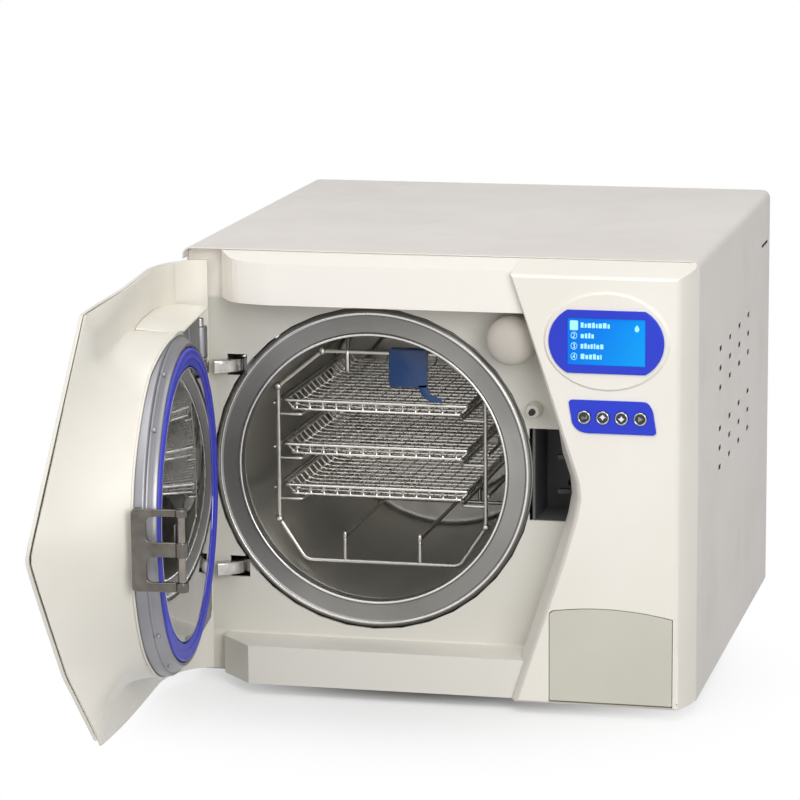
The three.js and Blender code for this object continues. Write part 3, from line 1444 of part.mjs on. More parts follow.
// The turned disc that carries the seal, with cast ears that end in the hinge barrels.
function doorCarrier() {
  const centre = [carrierU, 0, chamberZ];
  const [back, shoulder, face] = [-carrierBackW, -carrierShoulderW, -carrierFaceW];
  const disc = revolve([[0, back], [carrierRadius, back], [carrierRadius, shoulder],
    [carrierFaceRadius, face], [0, face]], 'y', centre, roundSteps);
  const ear = (bottom, top) => push(roundedRectangle(earU, carrierU, bottom, top, hingeBarrelRadius / 4),
    'y', back, shoulder, 4);
  const ears = [ear(barrelUpperZ, earTopZ), ear(earBottomZ, barrelLowerZ + hingeBarrelLength)];
  const barrel = (z) => cylinder(hingeBarrelRadius, 'z', [0, 0, 0], z, z + hingeBarrelLength);
  const bore = (z) => cylinder(hingePinRadius + seatGap, 'z', [0, 0, 0], z - overrun,
    z + hingeBarrelLength + 2 * overrun + hingeBarrelRadius);
  const groove = revolve([[gasketInnerRadius - seatGap, face - gasketGroove],
    [gasketOuterRadius + seatGap, face - gasketGroove], [gasketOuterRadius + seatGap, face + overrun],
    [gasketInnerRadius - seatGap, face + overrun]], 'y', centre, roundSteps);
  const flat = block(carrierFlatU, carrierU + carrierRadius + overrun, back - overrun,
    face + overrun, strikerBottomZ - seatGap, strikerTopZ + seatGap);
  const pinRoom = [
    block(earU - overrun, hingeBarrelRadius + seatGap, back - overrun, shoulder + overrun,
      barrelUpperZ + hingeBarrelLength, earTopZ + overrun),
    block(earU - overrun, hingeBarrelRadius + seatGap, back - overrun, shoulder + overrun,
      earBottomZ - overrun, barrelLowerZ),
  ];
  const cast = cut(join([disc, ...ears]), pinRoom).add(barrel(barrelUpperZ)).add(barrel(barrelLowerZ));
  return cut(cast, [groove, flat, bore(barrelUpperZ),
    cylinder(hingePinRadius + seatGap, 'z', [0, 0, 0], barrelLowerZ - hingePinTip - overrun,
      barrelLowerZ + hingeBarrelLength + overrun)]);
}

function sealingDisc() {
  const face = -carrierFaceW + seatGap;
  const profile = [[0, face], [discRadius, face], [discRadius, face + discThickness / 2]];
  for (let i = 0; i <= discRings; i += 1) {
    const radius = (discRadius - gasketRise) * (1 - i / discRings);
    profile.push([radius, face + discThickness + discCrown * (1 - (radius / (discRadius - gasketRise)) ** 2)]);
  }
  return revolve(profile, 'y', [carrierU, 0, chamberZ], roundSteps);
}

function doorGasket() {
  const root = -carrierFaceW - gasketGroove + seatGap;
  const tip = -carrierFaceW + gasketRise;
  const lip = gasketRise / 2;
  return revolve([[gasketInnerRadius, root], [gasketOuterRadius, root], [gasketOuterRadius, tip - lip],
    [gasketOuterRadius - lip, tip], [gasketInnerRadius + lip, tip], [gasketInnerRadius, tip - lip]],
  'y', [carrierU, 0, chamberZ], roundSteps);
}

// An E-shaped plate: the latch hooks enter its windows and pull on the pin between its arms.
function strikerBracket() {
  const half = strikerThickness / 2;
  const plate = block(strikerU - half, strikerU + half, -strikerFootW, -strikerReachW,
    strikerBottomZ, strikerTopZ);
  const foot = block(carrierFlatU + seatGap, strikerU, -strikerFootW,
    -strikerWindowFromW - strikerThickness, strikerBottomZ, strikerTopZ);
  const windows = [hookUpperZ, hookLowerZ].map((z) => block(strikerU - overrun, strikerU + overrun,
    -strikerWindowFromW, -strikerReachW + overrun, z - strikerWindow / 2, z + strikerWindow / 2));
  const arms = [[strikerBottomZ, hookLowerZ - strikerWindow / 2],
    [hookLowerZ + strikerWindow / 2, hookUpperZ - strikerWindow / 2],
    [hookUpperZ + strikerWindow / 2, strikerTopZ]];
  const knuckles = arms.map(([bottom, top]) => cylinder(strikerKnuckleRadius, 'z',
    [strikerU, -strikerPinW, 0], bottom, top, wireSides * 2));
  const bore = cylinder(strikerPinRadius + seatGap, 'z', [strikerU, -strikerPinW, 0],
    strikerBottomZ - overrun, strikerTopZ + overrun, wireSides * 2);
  return cut(join([plate, foot, ...knuckles]), [...windows, bore]);
}

function strikerPin() {
  return cylinder(strikerPinRadius, 'z', [strikerU, -strikerPinW, 0],
    strikerBottomZ + seatGap, strikerTopZ - seatGap, wireSides * 2);
}

// Hinge arms and pins, on the cabinet's side

// A flat cranked bar: an eye on the hinge axis, a knee, then straight back to the flange's lug.
function hingeArm(z) {
  const path = [[0, 0], [armKneeX, armKneeY], [armBendX, armBendY],
    [armBendX, flangeY + flangeThickness - hingeY]];
  const half = armWidth / 2;
  const pieces = [cylinder(armEyeRadius, 'z', [hingeX, hingeY, 0], z, z + armThickness)];
  path.slice(1).forEach(([x, y], i) => {
    const [fromX, fromY] = path[i];
    const length = Math.hypot(x - fromX, y - fromY);
    const run = block(0, length, -half, half, z, z + armThickness)
      .rotate([0, 0, THREE.MathUtils.radToDeg(Math.atan2(y - fromY, x - fromX))])
      .translate([hingeX + fromX, hingeY + fromY, 0]);
    pieces.push(run);
    if (i + 2 < path.length) {
      pieces.push(cylinder(half, 'z', [hingeX + x, hingeY + y, 0], z, z + armThickness, wireSides * 2));
    }
  });
  return join(pieces).subtract(cylinder(hingePinRadius + seatGap, 'z', [hingeX, hingeY, 0],
    z - overrun, z + armThickness + overrun));
}

// The pin stands in its arm; a collar carries the door's barrel.
function hingePinUpper() {
  const collar = armUpperZ + armThickness + seatGap;
  return revolve([[0, armUpperZ], [hingePinRadius, armUpperZ], [hingePinRadius, collar],
    [hingeCollarRadius, collar], [hingeCollarRadius, collar + hingeCollarHeight],
    [hingePinRadius, collar + hingeCollarHeight],
    [hingePinRadius, barrelUpperZ + hingeBarrelLength + hingePinTip - hingePinChamfer],
    [hingePinRadius - hingePinChamfer, barrelUpperZ + hingeBarrelLength + hingePinTip],
    [0, barrelUpperZ + hingeBarrelLength + hingePinTip]], 'z', [hingeX, hingeY, 0]);
}

function hingePinLower() {
  const collar = armLowerZ - seatGap;
  return revolve([[0, barrelLowerZ - hingePinTip], [hingePinRadius, barrelLowerZ - hingePinTip],
    [hingePinRadius, collar - hingeCollarHeight], [hingeCollarRadius, collar - hingeCollarHeight],
    [hingeCollarRadius, collar], [hingePinRadius, collar],
    [hingePinRadius, armLowerZ + armThickness], [0, armLowerZ + armThickness]],
  'z', [hingeX, hingeY, 0]);
}

// Pieces inside the body

const baseSeat = trayFloor + seatGap;

// An upright boiler with a bolted rim and a domed top.
function steamGenerator() {
  const [top, rim] = [baseSeat + generatorHeight, generatorRadius / 8];
  const shoulder = generatorRadius * 0.6;
  return revolve([[0, baseSeat], [generatorRadius + rim, baseSeat], [generatorRadius + rim, baseSeat + rim],
    [generatorRadius, baseSeat + rim], [generatorRadius, top - shoulder / 2],
    [generatorRadius + rim, top - shoulder / 2], [generatorRadius + rim, top - shoulder / 2 + rim],
    [shoulder, top], [rim, top], [rim, top + 3 * rim], [0, top + 3 * rim]],
  'z', [generatorX, generatorY, 0]);
}

// A horizontal motor and pump head on a cast foot.
function vacuumPump() {
  const [front, back] = [pumpY - pumpLength / 2, pumpY + pumpLength / 2];
  const motor = revolve([[0, front], [pumpRadius * 0.7, front], [pumpRadius, front + pumpRadius / 4],
    [pumpRadius, back - pumpRadius], [pumpRadius * 1.15, back - pumpRadius], [pumpRadius * 1.15, back],
    [0, back]], 'y', [pumpX, 0, pumpZ]);
  const foot = block(pumpX - pumpRadius * 0.8, pumpX + pumpRadius * 0.8, front + pumpRadius / 2,
    back - pumpRadius / 4, baseSeat, pumpZ);
  return motor.add(foot);
}

// A moulded tank with an open filler neck, on a shelf folded from the rear bracket.
function waterTank() {
  const outer = block(tankLeftX, tankRightX, tankFrontY, tankRearY, tankBottomZ, tankTopZ);
  const inner = block(tankLeftX + tankWall, tankRightX - tankWall, tankFrontY + tankWall,
    tankRearY - tankWall, tankBottomZ + tankWall, tankTopZ - tankWall);
  const neckRadius = (tankRearY - tankFrontY) / 4;
  const middle = [(tankLeftX + tankRightX) / 2, (tankFrontY + tankRearY) / 2, 0];
  const neck = cylinder(neckRadius, 'z', middle, tankTopZ - tankWall, tankTopZ + 3 * tankWall);
  const mouth = cylinder(neckRadius - tankWall, 'z', middle, tankTopZ - 2 * tankWall,
    tankTopZ + 3 * tankWall + overrun);
  return cut(outer.subtract(inner).add(neck), [mouth]);
}

function tankBracket() {
  const half = (shelfWidthShare * (tankRightX - tankLeftX)) / 2;
  const middle = (tankLeftX + tankRightX) / 2;
  const [left, right] = [middle - half, middle + half];
  const top = tankBottomZ - seatGap;
  const back = rearY - coverSheet - seatGap;
  const shelf = block(left, right, tankFrontY, back, top - trayFloor, top);
  const flange = block(left, right, back - trayFloor, back, top - trayFloor, tankTopZ);
  return shelf.add(flange);
}

// A finned coil block for cooling the exhausted steam.
function condenser() {
  const [left, right] = [condenserX - condenserWidth / 2, condenserX + condenserWidth / 2];
  const [front, back] = [condenserY - fanSize / 4, condenserY + fanSize / 4];
  const bottom = baseSeat;
  const pitch = (condenserWidth - finThickness) / (condenserFins - 1);
  const fins = Array.from({ length: condenserFins }, (_, i) => block(left + i * pitch,
    left + i * pitch + finThickness, front, back, bottom, bottom + condenserHeight));
  const levels = [1 / 4, 3 / 4].map((share) => bottom + share * condenserHeight);
  const cores = levels.map((z) => cylinder(coreRadius, 'x', [0, condenserY, z],
    left - coreRadius, right + coreRadius, wireSides));
  return join([...fins, ...cores]);
}

// Rear panel fittings

const fanBackY = rearY - coverSheet - seatGap;
const fanFrontY = fanBackY - fanDepth;

// A square frame with a round duct; three struts at the back hold the motor post.
function fanFrame() {
  const half = fanSize / 2;
  const duct = half - fanWall;
  const frame = push(roundedRectangle(fanX - half, fanX + half, fanZ - half, fanZ + half, fanWall),
    'y', fanFrontY, fanBackY, 3);
  const hole = cylinder(duct, 'y', [fanX, 0, fanZ], fanFrontY - overrun, fanBackY + overrun, roundSides * 2);
  const post = cylinder(fanHubRadius, 'y', [fanX, 0, fanZ], fanBackY - fanStrut, fanBackY);
  const pin = cylinder(fanStrut / 2, 'y', [fanX, 0, fanZ], fanFrontY + 2 * fanStrut,
    fanBackY - fanStrut / 2, wireSides * 2);
  const strut = block(0, duct + fanWall / 2, fanBackY - fanStrut, fanBackY, -fanStrut / 2, fanStrut / 2);
  const struts = [0, 120, 240].map((angle) => strut.rotate([0, angle, 0]).translate([fanX, 0, fanZ]));
  return join([frame.subtract(hole), post, pin, ...struts]);
}

// A cup-shaped hub with twisted blades, turning on the motor post's pin.
function fanRotor() {
  const back = fanBackY - fanStrut - seatGap;
  const front = fanFrontY + fanStrut;
  const hub = cylinder(fanHubRadius, 'y', [fanX, 0, fanZ], front, back);
  const bladeReach = fanSize / 2 - fanWall - fanTipGap;
  const middle = (front + back) / 2;
  const chord = (back - front) * 0.9;
  const blades = Array.from({ length: fanBlades }, (_, i) => block(-fanStrut / 4, fanStrut / 4,
    -chord / 2, chord / 2, fanHubRadius / 2, bladeReach)
    .rotate([0, 0, fanBladeTwist]).rotate([0, (360 * i) / fanBlades, 0])
    .translate([fanX, middle, fanZ]));
  const bore = cylinder(fanStrut / 2 + seatGap, 'y', [fanX, 0, fanZ], front + fanStrut - seatGap,
    back + overrun, wireSides * 2);
  return join([hub, ...blades]).subtract(bore);
}

// A mains inlet with three pins in its socket and two fuse holders beside it.
function powerInlet() {
  const [left, right] = [inletX - inletWidth / 2, inletX + inletWidth / 2];
  const [bottom, top] = [inletZ - inletHeight / 2, inletZ + inletHeight / 2];
  const body = block(left + seatGap, right - seatGap, rearY - inletDepth, rearY + inletFlange,
    bottom + seatGap, top - seatGap);
  const rim = push(roundedRectangle(left - 2 * inletFlange, right + 2 * inletFlange,
    bottom - inletFlange, top + inletFlange, inletFlange), 'y', rearY + seatGap, rearY + inletFlange, 3);
  const socket = block(left + 2 * inletFlange, right - 2 * inletFlange, rearY - inletDepth * 0.7,
    rearY + overrun, bottom + inletFlange, top - inletFlange);
  const pins = [-1, 0, 1].map((side) => block(inletX + side * inletWidth / 5 - inletFlange / 3,
    inletX + side * inletWidth / 5 + inletFlange / 3, rearY - inletDepth, rearY - 4 * inletFlange / 3,
    inletZ - inletFlange, inletZ + inletFlange));
  return join([body.add(rim).subtract(socket), ...pins]);
}

// A threaded outlet for exhausted steam, with a hexagon nut against the panel.
function exhaustOutlet() {
  const nut = cylinder(ventRadius, 'y', [ventX, 0, ventZ], rearY + seatGap, rearY + ventRadius, wireSides);
  const stem = cylinder(ventRadius / 2 - seatGap, 'y', [ventX, 0, ventZ], rearY - 2 * ventRadius,
    rearY + 2 * ventRadius);
  const bore = cylinder(ventRadius / 4, 'y', [ventX, 0, ventZ], rearY - 3 * ventRadius,
    rearY + 3 * ventRadius, wireSides * 2);
  return nut.add(stem).subtract(bore);
}

// A round rubber foot with a tapered skirt.
function foot(x, y) {
  return revolve([[0, -footHeight], [footRadius * 0.85, -footHeight], [footRadius, -seatGap],
    [0, -seatGap]], 'z', [x, y, 0]);
}

// Assembly

const hookPairZs = { upper: hookUpperZ, lower: hookLowerZ };

add('wrap_cover', wrapCover(), 'whitePaint');
add('base_tray', baseTray(), 'zincSheet');
add('rear_panel', rearPanel(), 'whitePaint');
add('front_frame', frontFrame(), 'greyMoulding');
add('control_fascia', controlFascia(), 'ivoryMoulding');
add('service_flap', serviceFlap(), 'greyMoulding');
add('flap_hinge_pin', flapHingePin(), 'brushedSteel');
add('service_compartment', serviceCompartment(), 'blackPlastic');
const drainX = (flapLeftX + flapRightX) / 2;
add('drain_valve_clean', drainValve(drainX - drainSpacing / 2), 'bluePlastic');
add('drain_valve_used', drainValve(drainX + drainSpacing / 2), 'blackPlastic');
add('display_bezel', displayBezel(), 'bluePrint');
add('display_screen', displayScreen(), 'blueScreen');
add('keypad', keypad(), 'bluePrint');
buttonXs.forEach((x, i) => add(`button_${i + 1}`, button(x), 'bluePrint'));
add('control_board', controlBoard(), 'greenBoard');
add('bacterial_filter', bacterialFilter(), 'ivoryMoulding');
add('door_switch_boss', doorSwitchBoss(), 'ivoryMoulding');
add('door_switch_plunger', doorSwitchPlunger(), 'brushedSteel');
add('latch_housing', latchHousing(), 'blackPlastic');
add('latch_shaft', latchShaft(), 'brushedSteel');
for (const [place, z] of Object.entries(hookPairZs)) add(`latch_hook_${place}`, latchHook(z), 'brushedSteel');
add('lock_motor', lockMotor(), 'brushedSteel');
add('chamber_vessel', chamberVessel(), 'brushedSteel');
add('chamber_flange', chamberFlange(), 'brushedSteel');
add('insulation_jacket', insulationJacket(), 'insulation');
add('saddle_front', saddle(saddleFrontY), 'zincSheet');
add('saddle_rear', saddle(saddleRearY), 'zincSheet');
add('tray_rack', trayRack(), 'wireSteel');
add('tray_top', tray(trayTopZ), 'wireSteel');
add('tray_middle', tray(trayMiddleZ), 'wireSteel');
add('tray_bottom', tray(trayBottomZ), 'wireSteel');
add('tray_lifter', trayLifter(), 'bluePlastic');
add('hinge_arm_upper', hingeArm(armUpperZ), 'polishedSteel');
add('hinge_arm_lower', hingeArm(armLowerZ), 'polishedSteel');
add('hinge_pin_upper', hingePinUpper(), 'polishedSteel');
add('hinge_pin_lower', hingePinLower(), 'polishedSteel');
add('steam_generator', steamGenerator(), 'brushedSteel');
add('vacuum_pump', vacuumPump(), 'castAluminium');
add('water_tank', waterTank(), 'tankPlastic');
add('tank_bracket', tankBracket(), 'zincSheet');
add('condenser', condenser(), 'castAluminium');
add('fan_frame', fanFrame(), 'blackPlastic');
add('fan_rotor', fanRotor(), 'blackPlastic');
add('power_inlet', powerInlet(), 'blackPlastic');
add('exhaust_outlet', exhaustOutlet(), 'brass');
const footXs = [footInset, bodyWidth - footInset];
const footYs = [footInset + panelY / 2, bodyDepth - footInset];
footXs.forEach((x, i) => footYs.forEach((y, j) => {
  add(`foot_${['left', 'right'][i]}_${['front', 'rear'][j]}`, foot(x, y), 'blackPlastic');
}));

// The door hangs on the hinge axis and stands open.
const door = new THREE.Group();
door.position.set(hingeX, hingeY, 0);
door.rotation.z = -openAngle;
autoclave.add(door);
add('door_shell', doorShell(), 'ivoryMoulding', door);
add('door_liner', doorLiner(), 'ivoryMoulding', door);
add('door_carrier', doorCarrier(), 'castAluminium', door);
add('sealing_disc', sealingDisc(), 'polishedSteel', door);
add('door_gasket', doorGasket(), 'blueRubber', door);
add('striker_bracket', strikerBracket(), 'brushedSteel', door);
add('striker_pin', strikerPin(), 'polishedSteel', door);

// The finished group's origin is the middle of the ground that it covers.
autoclave.updateMatrixWorld(true);
const bounds = new THREE.Box3().setFromObject(autoclave, true);
const standing = new THREE.Group();
autoclave.position.set(-(bounds.min.x + bounds.max.x) / 2, -(bounds.min.y + bounds.max.y) / 2,
  -bounds.min.z);
standing.add(autoclave);
standing.updateMatrixWorld(true);

export default standing;
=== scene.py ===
# Looks of a bench-top dental autoclave with its door standing open. Lengths are written in
# millimetres in the cabinet's own frame: x from its left side, y from the front of the control
# column towards the back, z from the underside of the body. placed() turns them into metres.
import bmesh
import bpy
import math
import numpy as np
from mathutils import Matrix, Vector


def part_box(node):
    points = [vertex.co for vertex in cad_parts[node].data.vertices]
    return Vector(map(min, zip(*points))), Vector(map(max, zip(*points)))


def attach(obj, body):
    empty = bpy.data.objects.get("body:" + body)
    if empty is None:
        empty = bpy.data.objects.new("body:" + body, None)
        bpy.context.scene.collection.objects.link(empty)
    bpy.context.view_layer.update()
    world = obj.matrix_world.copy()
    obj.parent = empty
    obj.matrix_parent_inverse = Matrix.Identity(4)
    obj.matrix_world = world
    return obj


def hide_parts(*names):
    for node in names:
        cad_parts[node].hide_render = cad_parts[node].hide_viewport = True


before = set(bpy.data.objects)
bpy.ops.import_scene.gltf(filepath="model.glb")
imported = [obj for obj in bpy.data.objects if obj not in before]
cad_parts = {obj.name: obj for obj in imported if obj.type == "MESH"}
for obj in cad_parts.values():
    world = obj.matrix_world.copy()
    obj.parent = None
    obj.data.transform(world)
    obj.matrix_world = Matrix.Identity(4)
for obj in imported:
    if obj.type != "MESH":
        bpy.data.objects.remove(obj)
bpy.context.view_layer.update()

# Places that several pieces share: x and z of the chamber and of the door's carrier, x and y of the
# hinge's axis, and the distance of the flange's sealing face from the front
BODY_DEPTH = 522.0
COVER_LOW, COVER_HIGH = (np.array(corner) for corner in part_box("wrap_cover"))
CABINET_ORIGIN = np.array([COVER_LOW[0], COVER_HIGH[1] - BODY_DEPTH / 1000, COVER_LOW[2]])
HINGE = (16.2, 41.1)
DOOR_OPEN = math.radians(84.3)
CHAMBER = (174.4, 199.3)
CARRIER = (158.2, 199.3)
FLANGE_Y = 60.4

# The undersides of the two hinge arms, their height, and the length of the door's barrels
ARM_LEVELS = {"upper": 287.5, "lower": 95.5}
ARM_HEIGHT = 12.0
BARREL_LENGTH = 29.0
BARREL_LEVELS = (303.1, 62.9)


def placed(points):
    """Millimetres in the cabinet's frame to metres in the model's frame: origin + points / 1000."""
    return CABINET_ORIGIN + np.asarray(points, float) / 1000


def swung(points):
    """Door drawn shut to door as it stands open: a turn by the opening angle about the hinge,
    x' = hx + dx cos a + dy sin a, y' = hy - dx sin a + dy cos a."""
    points = np.asarray(points, float)
    dx, dy = points[..., 0], points[..., 1]
    c, s = math.cos(DOOR_OPEN), math.sin(DOOR_OPEN)
    return np.stack([HINGE[0] + dx * c + dy * s, HINGE[1] - dx * s + dy * c, points[..., 2]], -1)


def rounded(points, radius, steps=5, closed=False):
    """Each corner P between A and B becomes the curve (1-t)^2 A' + 2t(1-t) P + t^2 B', where A'
    and B' lie at the radius from P along its two edges, or at 0.45 of an edge that is short."""
    points = np.asarray(points, float)
    before, after = np.roll(points, 1, 0), np.roll(points, -1, 0)
    radius = np.broadcast_to(np.asarray(radius, float), len(points))[:, None]
    to_before, to_after = before - points, after - points
    long_before = np.linalg.norm(to_before, axis=1, keepdims=True) + 1e-9
    long_after = np.linalg.norm(to_after, axis=1, keepdims=True) + 1e-9
    start = points + to_before / long_before * np.minimum(radius, 0.45 * long_before)
    end = points + to_after / long_after * np.minimum(radius, 0.45 * long_after)
    t = np.linspace(0, 1, steps)[None, :, None]
    curve = (1 - t) ** 2 * start[:, None] + 2 * t * (1 - t) * points[:, None] + t ** 2 * end[:, None]
    if closed:
        return curve.reshape(-1, points.shape[1])
    inner = curve[1:-1].reshape(-1, points.shape[1])
    return np.concatenate([points[:1], inner, points[-1:]])


def even(points, step):
    """The same path with a point about every step of its length, by linear interpolation."""
    points = np.asarray(points, float)
    run = np.concatenate([[0], np.cumsum(np.linalg.norm(np.diff(points, axis=0), axis=1))])
    at = np.linspace(0, run[-1], max(2, int(round(run[-1] / step)) + 1))
    return np.stack([np.interp(at, run, points[:, k]) for k in range(points.shape[1])], 1)


def turned(profile, centre, steps=144, sweep=(0.0, 360.0)):
    """A profile of (radius, y) carried round an axis along y: x = cx + r cos a, z = cz + r sin a."""
    profile = np.asarray(profile, float)
    whole = sweep[1] - sweep[0] >= 360
    angle = np.radians(np.linspace(sweep[0], sweep[1], steps, endpoint=not whole))
    radius, y = profile[:, 0, None], profile[:, 1, None]
    x = centre[0] + radius * np.cos(angle)
    z = centre[1] + radius * np.sin(angle)
    return np.stack([x, np.broadcast_to(y, x.shape), z], -1)


def standing(profile, centre, steps=96):
    """A profile of (radius, z) carried round an upright axis: x = cx + r cos a, y = cy + r sin a."""
    profile = np.asarray(profile, float)
    angle = np.radians(np.linspace(0, 360, steps, endpoint=False))
    radius, z = profile[:, 0, None], profile[:, 1, None]
    x = centre[0] + radius * np.cos(angle)
    y = centre[1] + radius * np.sin(angle)
    return np.stack([x, y, np.broadcast_to(z, x.shape)], -1)


def wire(path, radius, up=(0, 1, 0), sides=10, closed=False):
    """A round section carried along a path: point + r (cos a side + sin a lift), where side is
    tangent x up and lift is side x tangent. An open wire ends in a small dome."""
    path = np.asarray(path, float)
    if closed:
        tangent = np.roll(path, -1, 0) - np.roll(path, 1, 0)
    else:
        tangent = np.gradient(path, axis=0)
    tangent /= np.linalg.norm(tangent, axis=1, keepdims=True) + 1e-12
    side = np.cross(tangent, np.asarray(up, float))
    side /= np.linalg.norm(side, axis=1, keepdims=True) + 1e-12
    lift = np.cross(side, tangent)
    radii = np.full(len(path), float(radius))
    if not closed:
        dome = np.array([0.0, 0.5, 0.866])
        reach = np.array([1.0, 0.866, 0.5]) * radius
        path = np.concatenate([path[0] - tangent[0] * reach[:, None], path,
                               path[-1] + tangent[-1] * reach[::-1, None]])
        radii = np.concatenate([radius * dome, radii, radius * dome[::-1]])
        side = np.concatenate([side[[0, 0, 0]], side, side[[-1, -1, -1]]])
        lift = np.concatenate([lift[[0, 0, 0]], lift, lift[[-1, -1, -1]]])
    angle = np.radians(np.linspace(0, 360, sides, endpoint=False))[None, :, None]
    across = np.cos(angle) * side[:, None] + np.sin(angle) * lift[:, None]
    return path[:, None] + radii[:, None, None] * across


def plate(outline, near, far, soft, axis="y", steps=4):
    """A flat shape with soft rims: its outline is drawn in along its own normals by
    soft (1 - sin a) while it climbs from the rim to the face by soft (1 - cos a)."""
    outline = np.asarray(outline, float)
    tangent = np.roll(outline, -1, 0) - np.roll(outline, 1, 0)
    tangent /= np.linalg.norm(tangent, axis=1, keepdims=True) + 1e-12
    area = np.sum(outline[:, 0] * np.roll(outline[:, 1], -1) - outline[:, 1] * np.roll(outline[:, 0], -1))
    inward = np.stack([-tangent[:, 1], tangent[:, 0]], 1) * np.sign(area)
    angle = np.linspace(0, math.pi / 2, steps)
    draw = soft * (1 - np.sin(angle))
    climb = soft * (1 - np.cos(angle))
    draws = np.concatenate([draw, draw[::-1]])
    levels = np.concatenate([near + climb, far - climb[::-1]])
    flat = outline[None] + draws[:, None, None] * inward[None]
    level = np.broadcast_to(levels[:, None, None], flat.shape[:2] + (1,))
    order = {"y": (0, 2, 1), "z": (0, 1, 2), "x": (2, 0, 1)}[axis]
    return np.concatenate([flat, level], -1)[..., order]


def quads(rows, columns, first, wrap_rows, wrap_columns):
    """Four corners for each cell of a grid, as row and column numbers taken modulo its size."""
    r = np.arange(rows if wrap_rows else rows - 1)[:, None]
    c = np.arange(columns if wrap_columns else columns - 1)[None, :]
    r2, c2 = (r + 1) % rows, (c + 1) % columns
    cell = np.stack([r * columns + c, r * columns + c2, r2 * columns + c2, r2 * columns + c], -1)
    return cell.reshape(-1, 4) + first


def skin(grid, wrap=(False, True), caps=(False, False)):
    """A grid of points with how it closes: wrap for rows and columns, caps for its end rows."""
    return {"grid": np.asarray(grid, float), "wrap": wrap, "caps": caps}


def tube_of(path, radius, up=(0, 1, 0), sides=10, closed=False):
    """A round wire as a skin that joins up where its path closes."""
    return skin(wire(path, radius, up, sides, closed), wrap=(closed, True))


def slab_of(outline, near, far, soft, axis="y", steps=4):
    """A plate with soft rims between two levels along an axis, as a closed skin."""
    return skin(plate(outline, near, far, soft, axis, steps), caps=(True, True))


def shape(name, skins, body, finish, stands_for=(), on_door=False, sharp=38.0, weld=2e-5):
    """Joins grids into one mesh in metres: vertices and faces come as whole arrays, doubles are
    merged, every closed shell is turned outwards, and edges past the sharp angle stay crisp."""
    points, faces, first = [], [], 0
    for one in skins:
        grid = swung(one["grid"]) if on_door else one["grid"]
        rows, columns = grid.shape[:2]
        faces += quads(rows, columns, first, *one["wrap"]).tolist()
        for row, wanted in ((0, one["caps"][0]), (rows - 1, one["caps"][1])):
            if wanted:
                loop = list(range(first + row * columns, first + (row + 1) * columns))
                faces.append(loop if row else loop[::-1])
        points.append(placed(grid).reshape(-1, 3))
        first += rows * columns
    mesh = bpy.data.meshes.new(name)
    mesh.from_pydata(np.concatenate(points), [], faces)
    work = bmesh.new()
    work.from_mesh(mesh)
    bmesh.ops.remove_doubles(work, verts=work.verts, dist=weld)
    bmesh.ops.dissolve_degenerate(work, edges=work.edges, dist=1e-7)
    bmesh.ops.recalc_face_normals(work, faces=work.faces)
    work.to_mesh(mesh)
    work.free()
    return dressed(name, mesh, body, finish, stands_for, sharp)


def dressed(name, mesh, body, finish, stands_for=(), sharp=38.0):
    """Shades a mesh smooth up to the sharp angle, gives it its finish and lets it ride its body."""
    mesh.polygons.foreach_set("use_smooth", np.ones(len(mesh.polygons), bool))
    mesh.set_sharp_from_angle(angle=math.radians(sharp))
    mesh.materials.clear()
    mesh.materials.append(finish)
    piece = bpy.data.objects.new(name, mesh)
    bpy.context.scene.collection.objects.link(piece)
    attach(piece, body)
    if stands_for:
        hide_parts(*stands_for)
    return piece


def eased(node, body, finish, width, segments=2, angle=32.0, join=True):
    """A copy of a solid with its loose triangles merged, its flat faces joined and its edges
    eased by a small round, so that they catch the light as on a real moulding or sheet."""
    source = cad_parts[node]
    work = bmesh.new()
    work.from_mesh(source.data)
    bmesh.ops.remove_doubles(work, verts=work.verts, dist=4e-6)
    if join:
        bmesh.ops.dissolve_limit(work, angle_limit=math.radians(0.6), verts=work.verts, edges=work.edges)
    mesh = bpy.data.meshes.new(node + "_eased")
    work.to_mesh(mesh)
    work.free()
    piece = dressed(node + "_eased", mesh, body, finish, (node,), angle)
    bevel = piece.modifiers.new("eased edges", "BEVEL")
    bevel.width = width / 1000
    bevel.segments = segments
    bevel.limit_method = "ANGLE"
    bevel.angle_limit = math.radians(angle)
    bevel.harden_normals = True
    bevel.miter_outer = "MITER_ARC"
    bevel.use_clamp_overlap = True
    weighted = piece.modifiers.new("level faces", "WEIGHTED_NORMAL")
    weighted.keep_sharp = True
    weighted.weight = 60
    return piece


# Finishes

def tone(red, green, blue):
    """A display colour of 0 to 255 a channel as the linear colour that a shader socket takes."""
    share = np.array([red, green, blue]) / 255
    linear = np.where(share <= 0.04045, share / 12.92, ((share + 0.055) / 1.055) ** 2.4)
    return (*map(float, linear), 1.0)


def node(tree, kind, values=None, **settings):
    """Adds a node; each named or numbered input takes a constant or the socket that feeds it."""
    made = tree.nodes.new(kind)
    for key, value in settings.items():
        setattr(made, key, value)
    for key, value in (values or {}).items():
        if isinstance(value, bpy.types.NodeSocket):
            tree.links.new(value, made.inputs[key])
        else:
            made.inputs[key].default_value = value
    return made


def effect(name, inputs, outputs):
    """A shader node group with named inputs and outputs, and its two end nodes."""
    tree = bpy.data.node_groups.new(name, "ShaderNodeTree")
    for label, kind, default in inputs:
        tree.interface.new_socket(label, in_out="INPUT", socket_type=kind).default_value = default
    for label, kind in outputs:
        tree.interface.new_socket(label, in_out="OUTPUT", socket_type=kind)
    return tree, tree.nodes.new("NodeGroupInput"), tree.nodes.new("NodeGroupOutput")


FLOAT, VECTOR = "NodeSocketFloat", "NodeSocketVector"


def math_node(tree, operation, first, second=0.0, third=None):
    """The result of one operation on numbers or sockets."""
    values = {0: first, 1: second}
    if third is not None:
        values[2] = third
    return node(tree, "ShaderNodeMath", values, operation=operation).outputs[0]


def times(tree, first, second):
    """The product of two numbers or sockets."""
    return math_node(tree, "MULTIPLY", first, second)


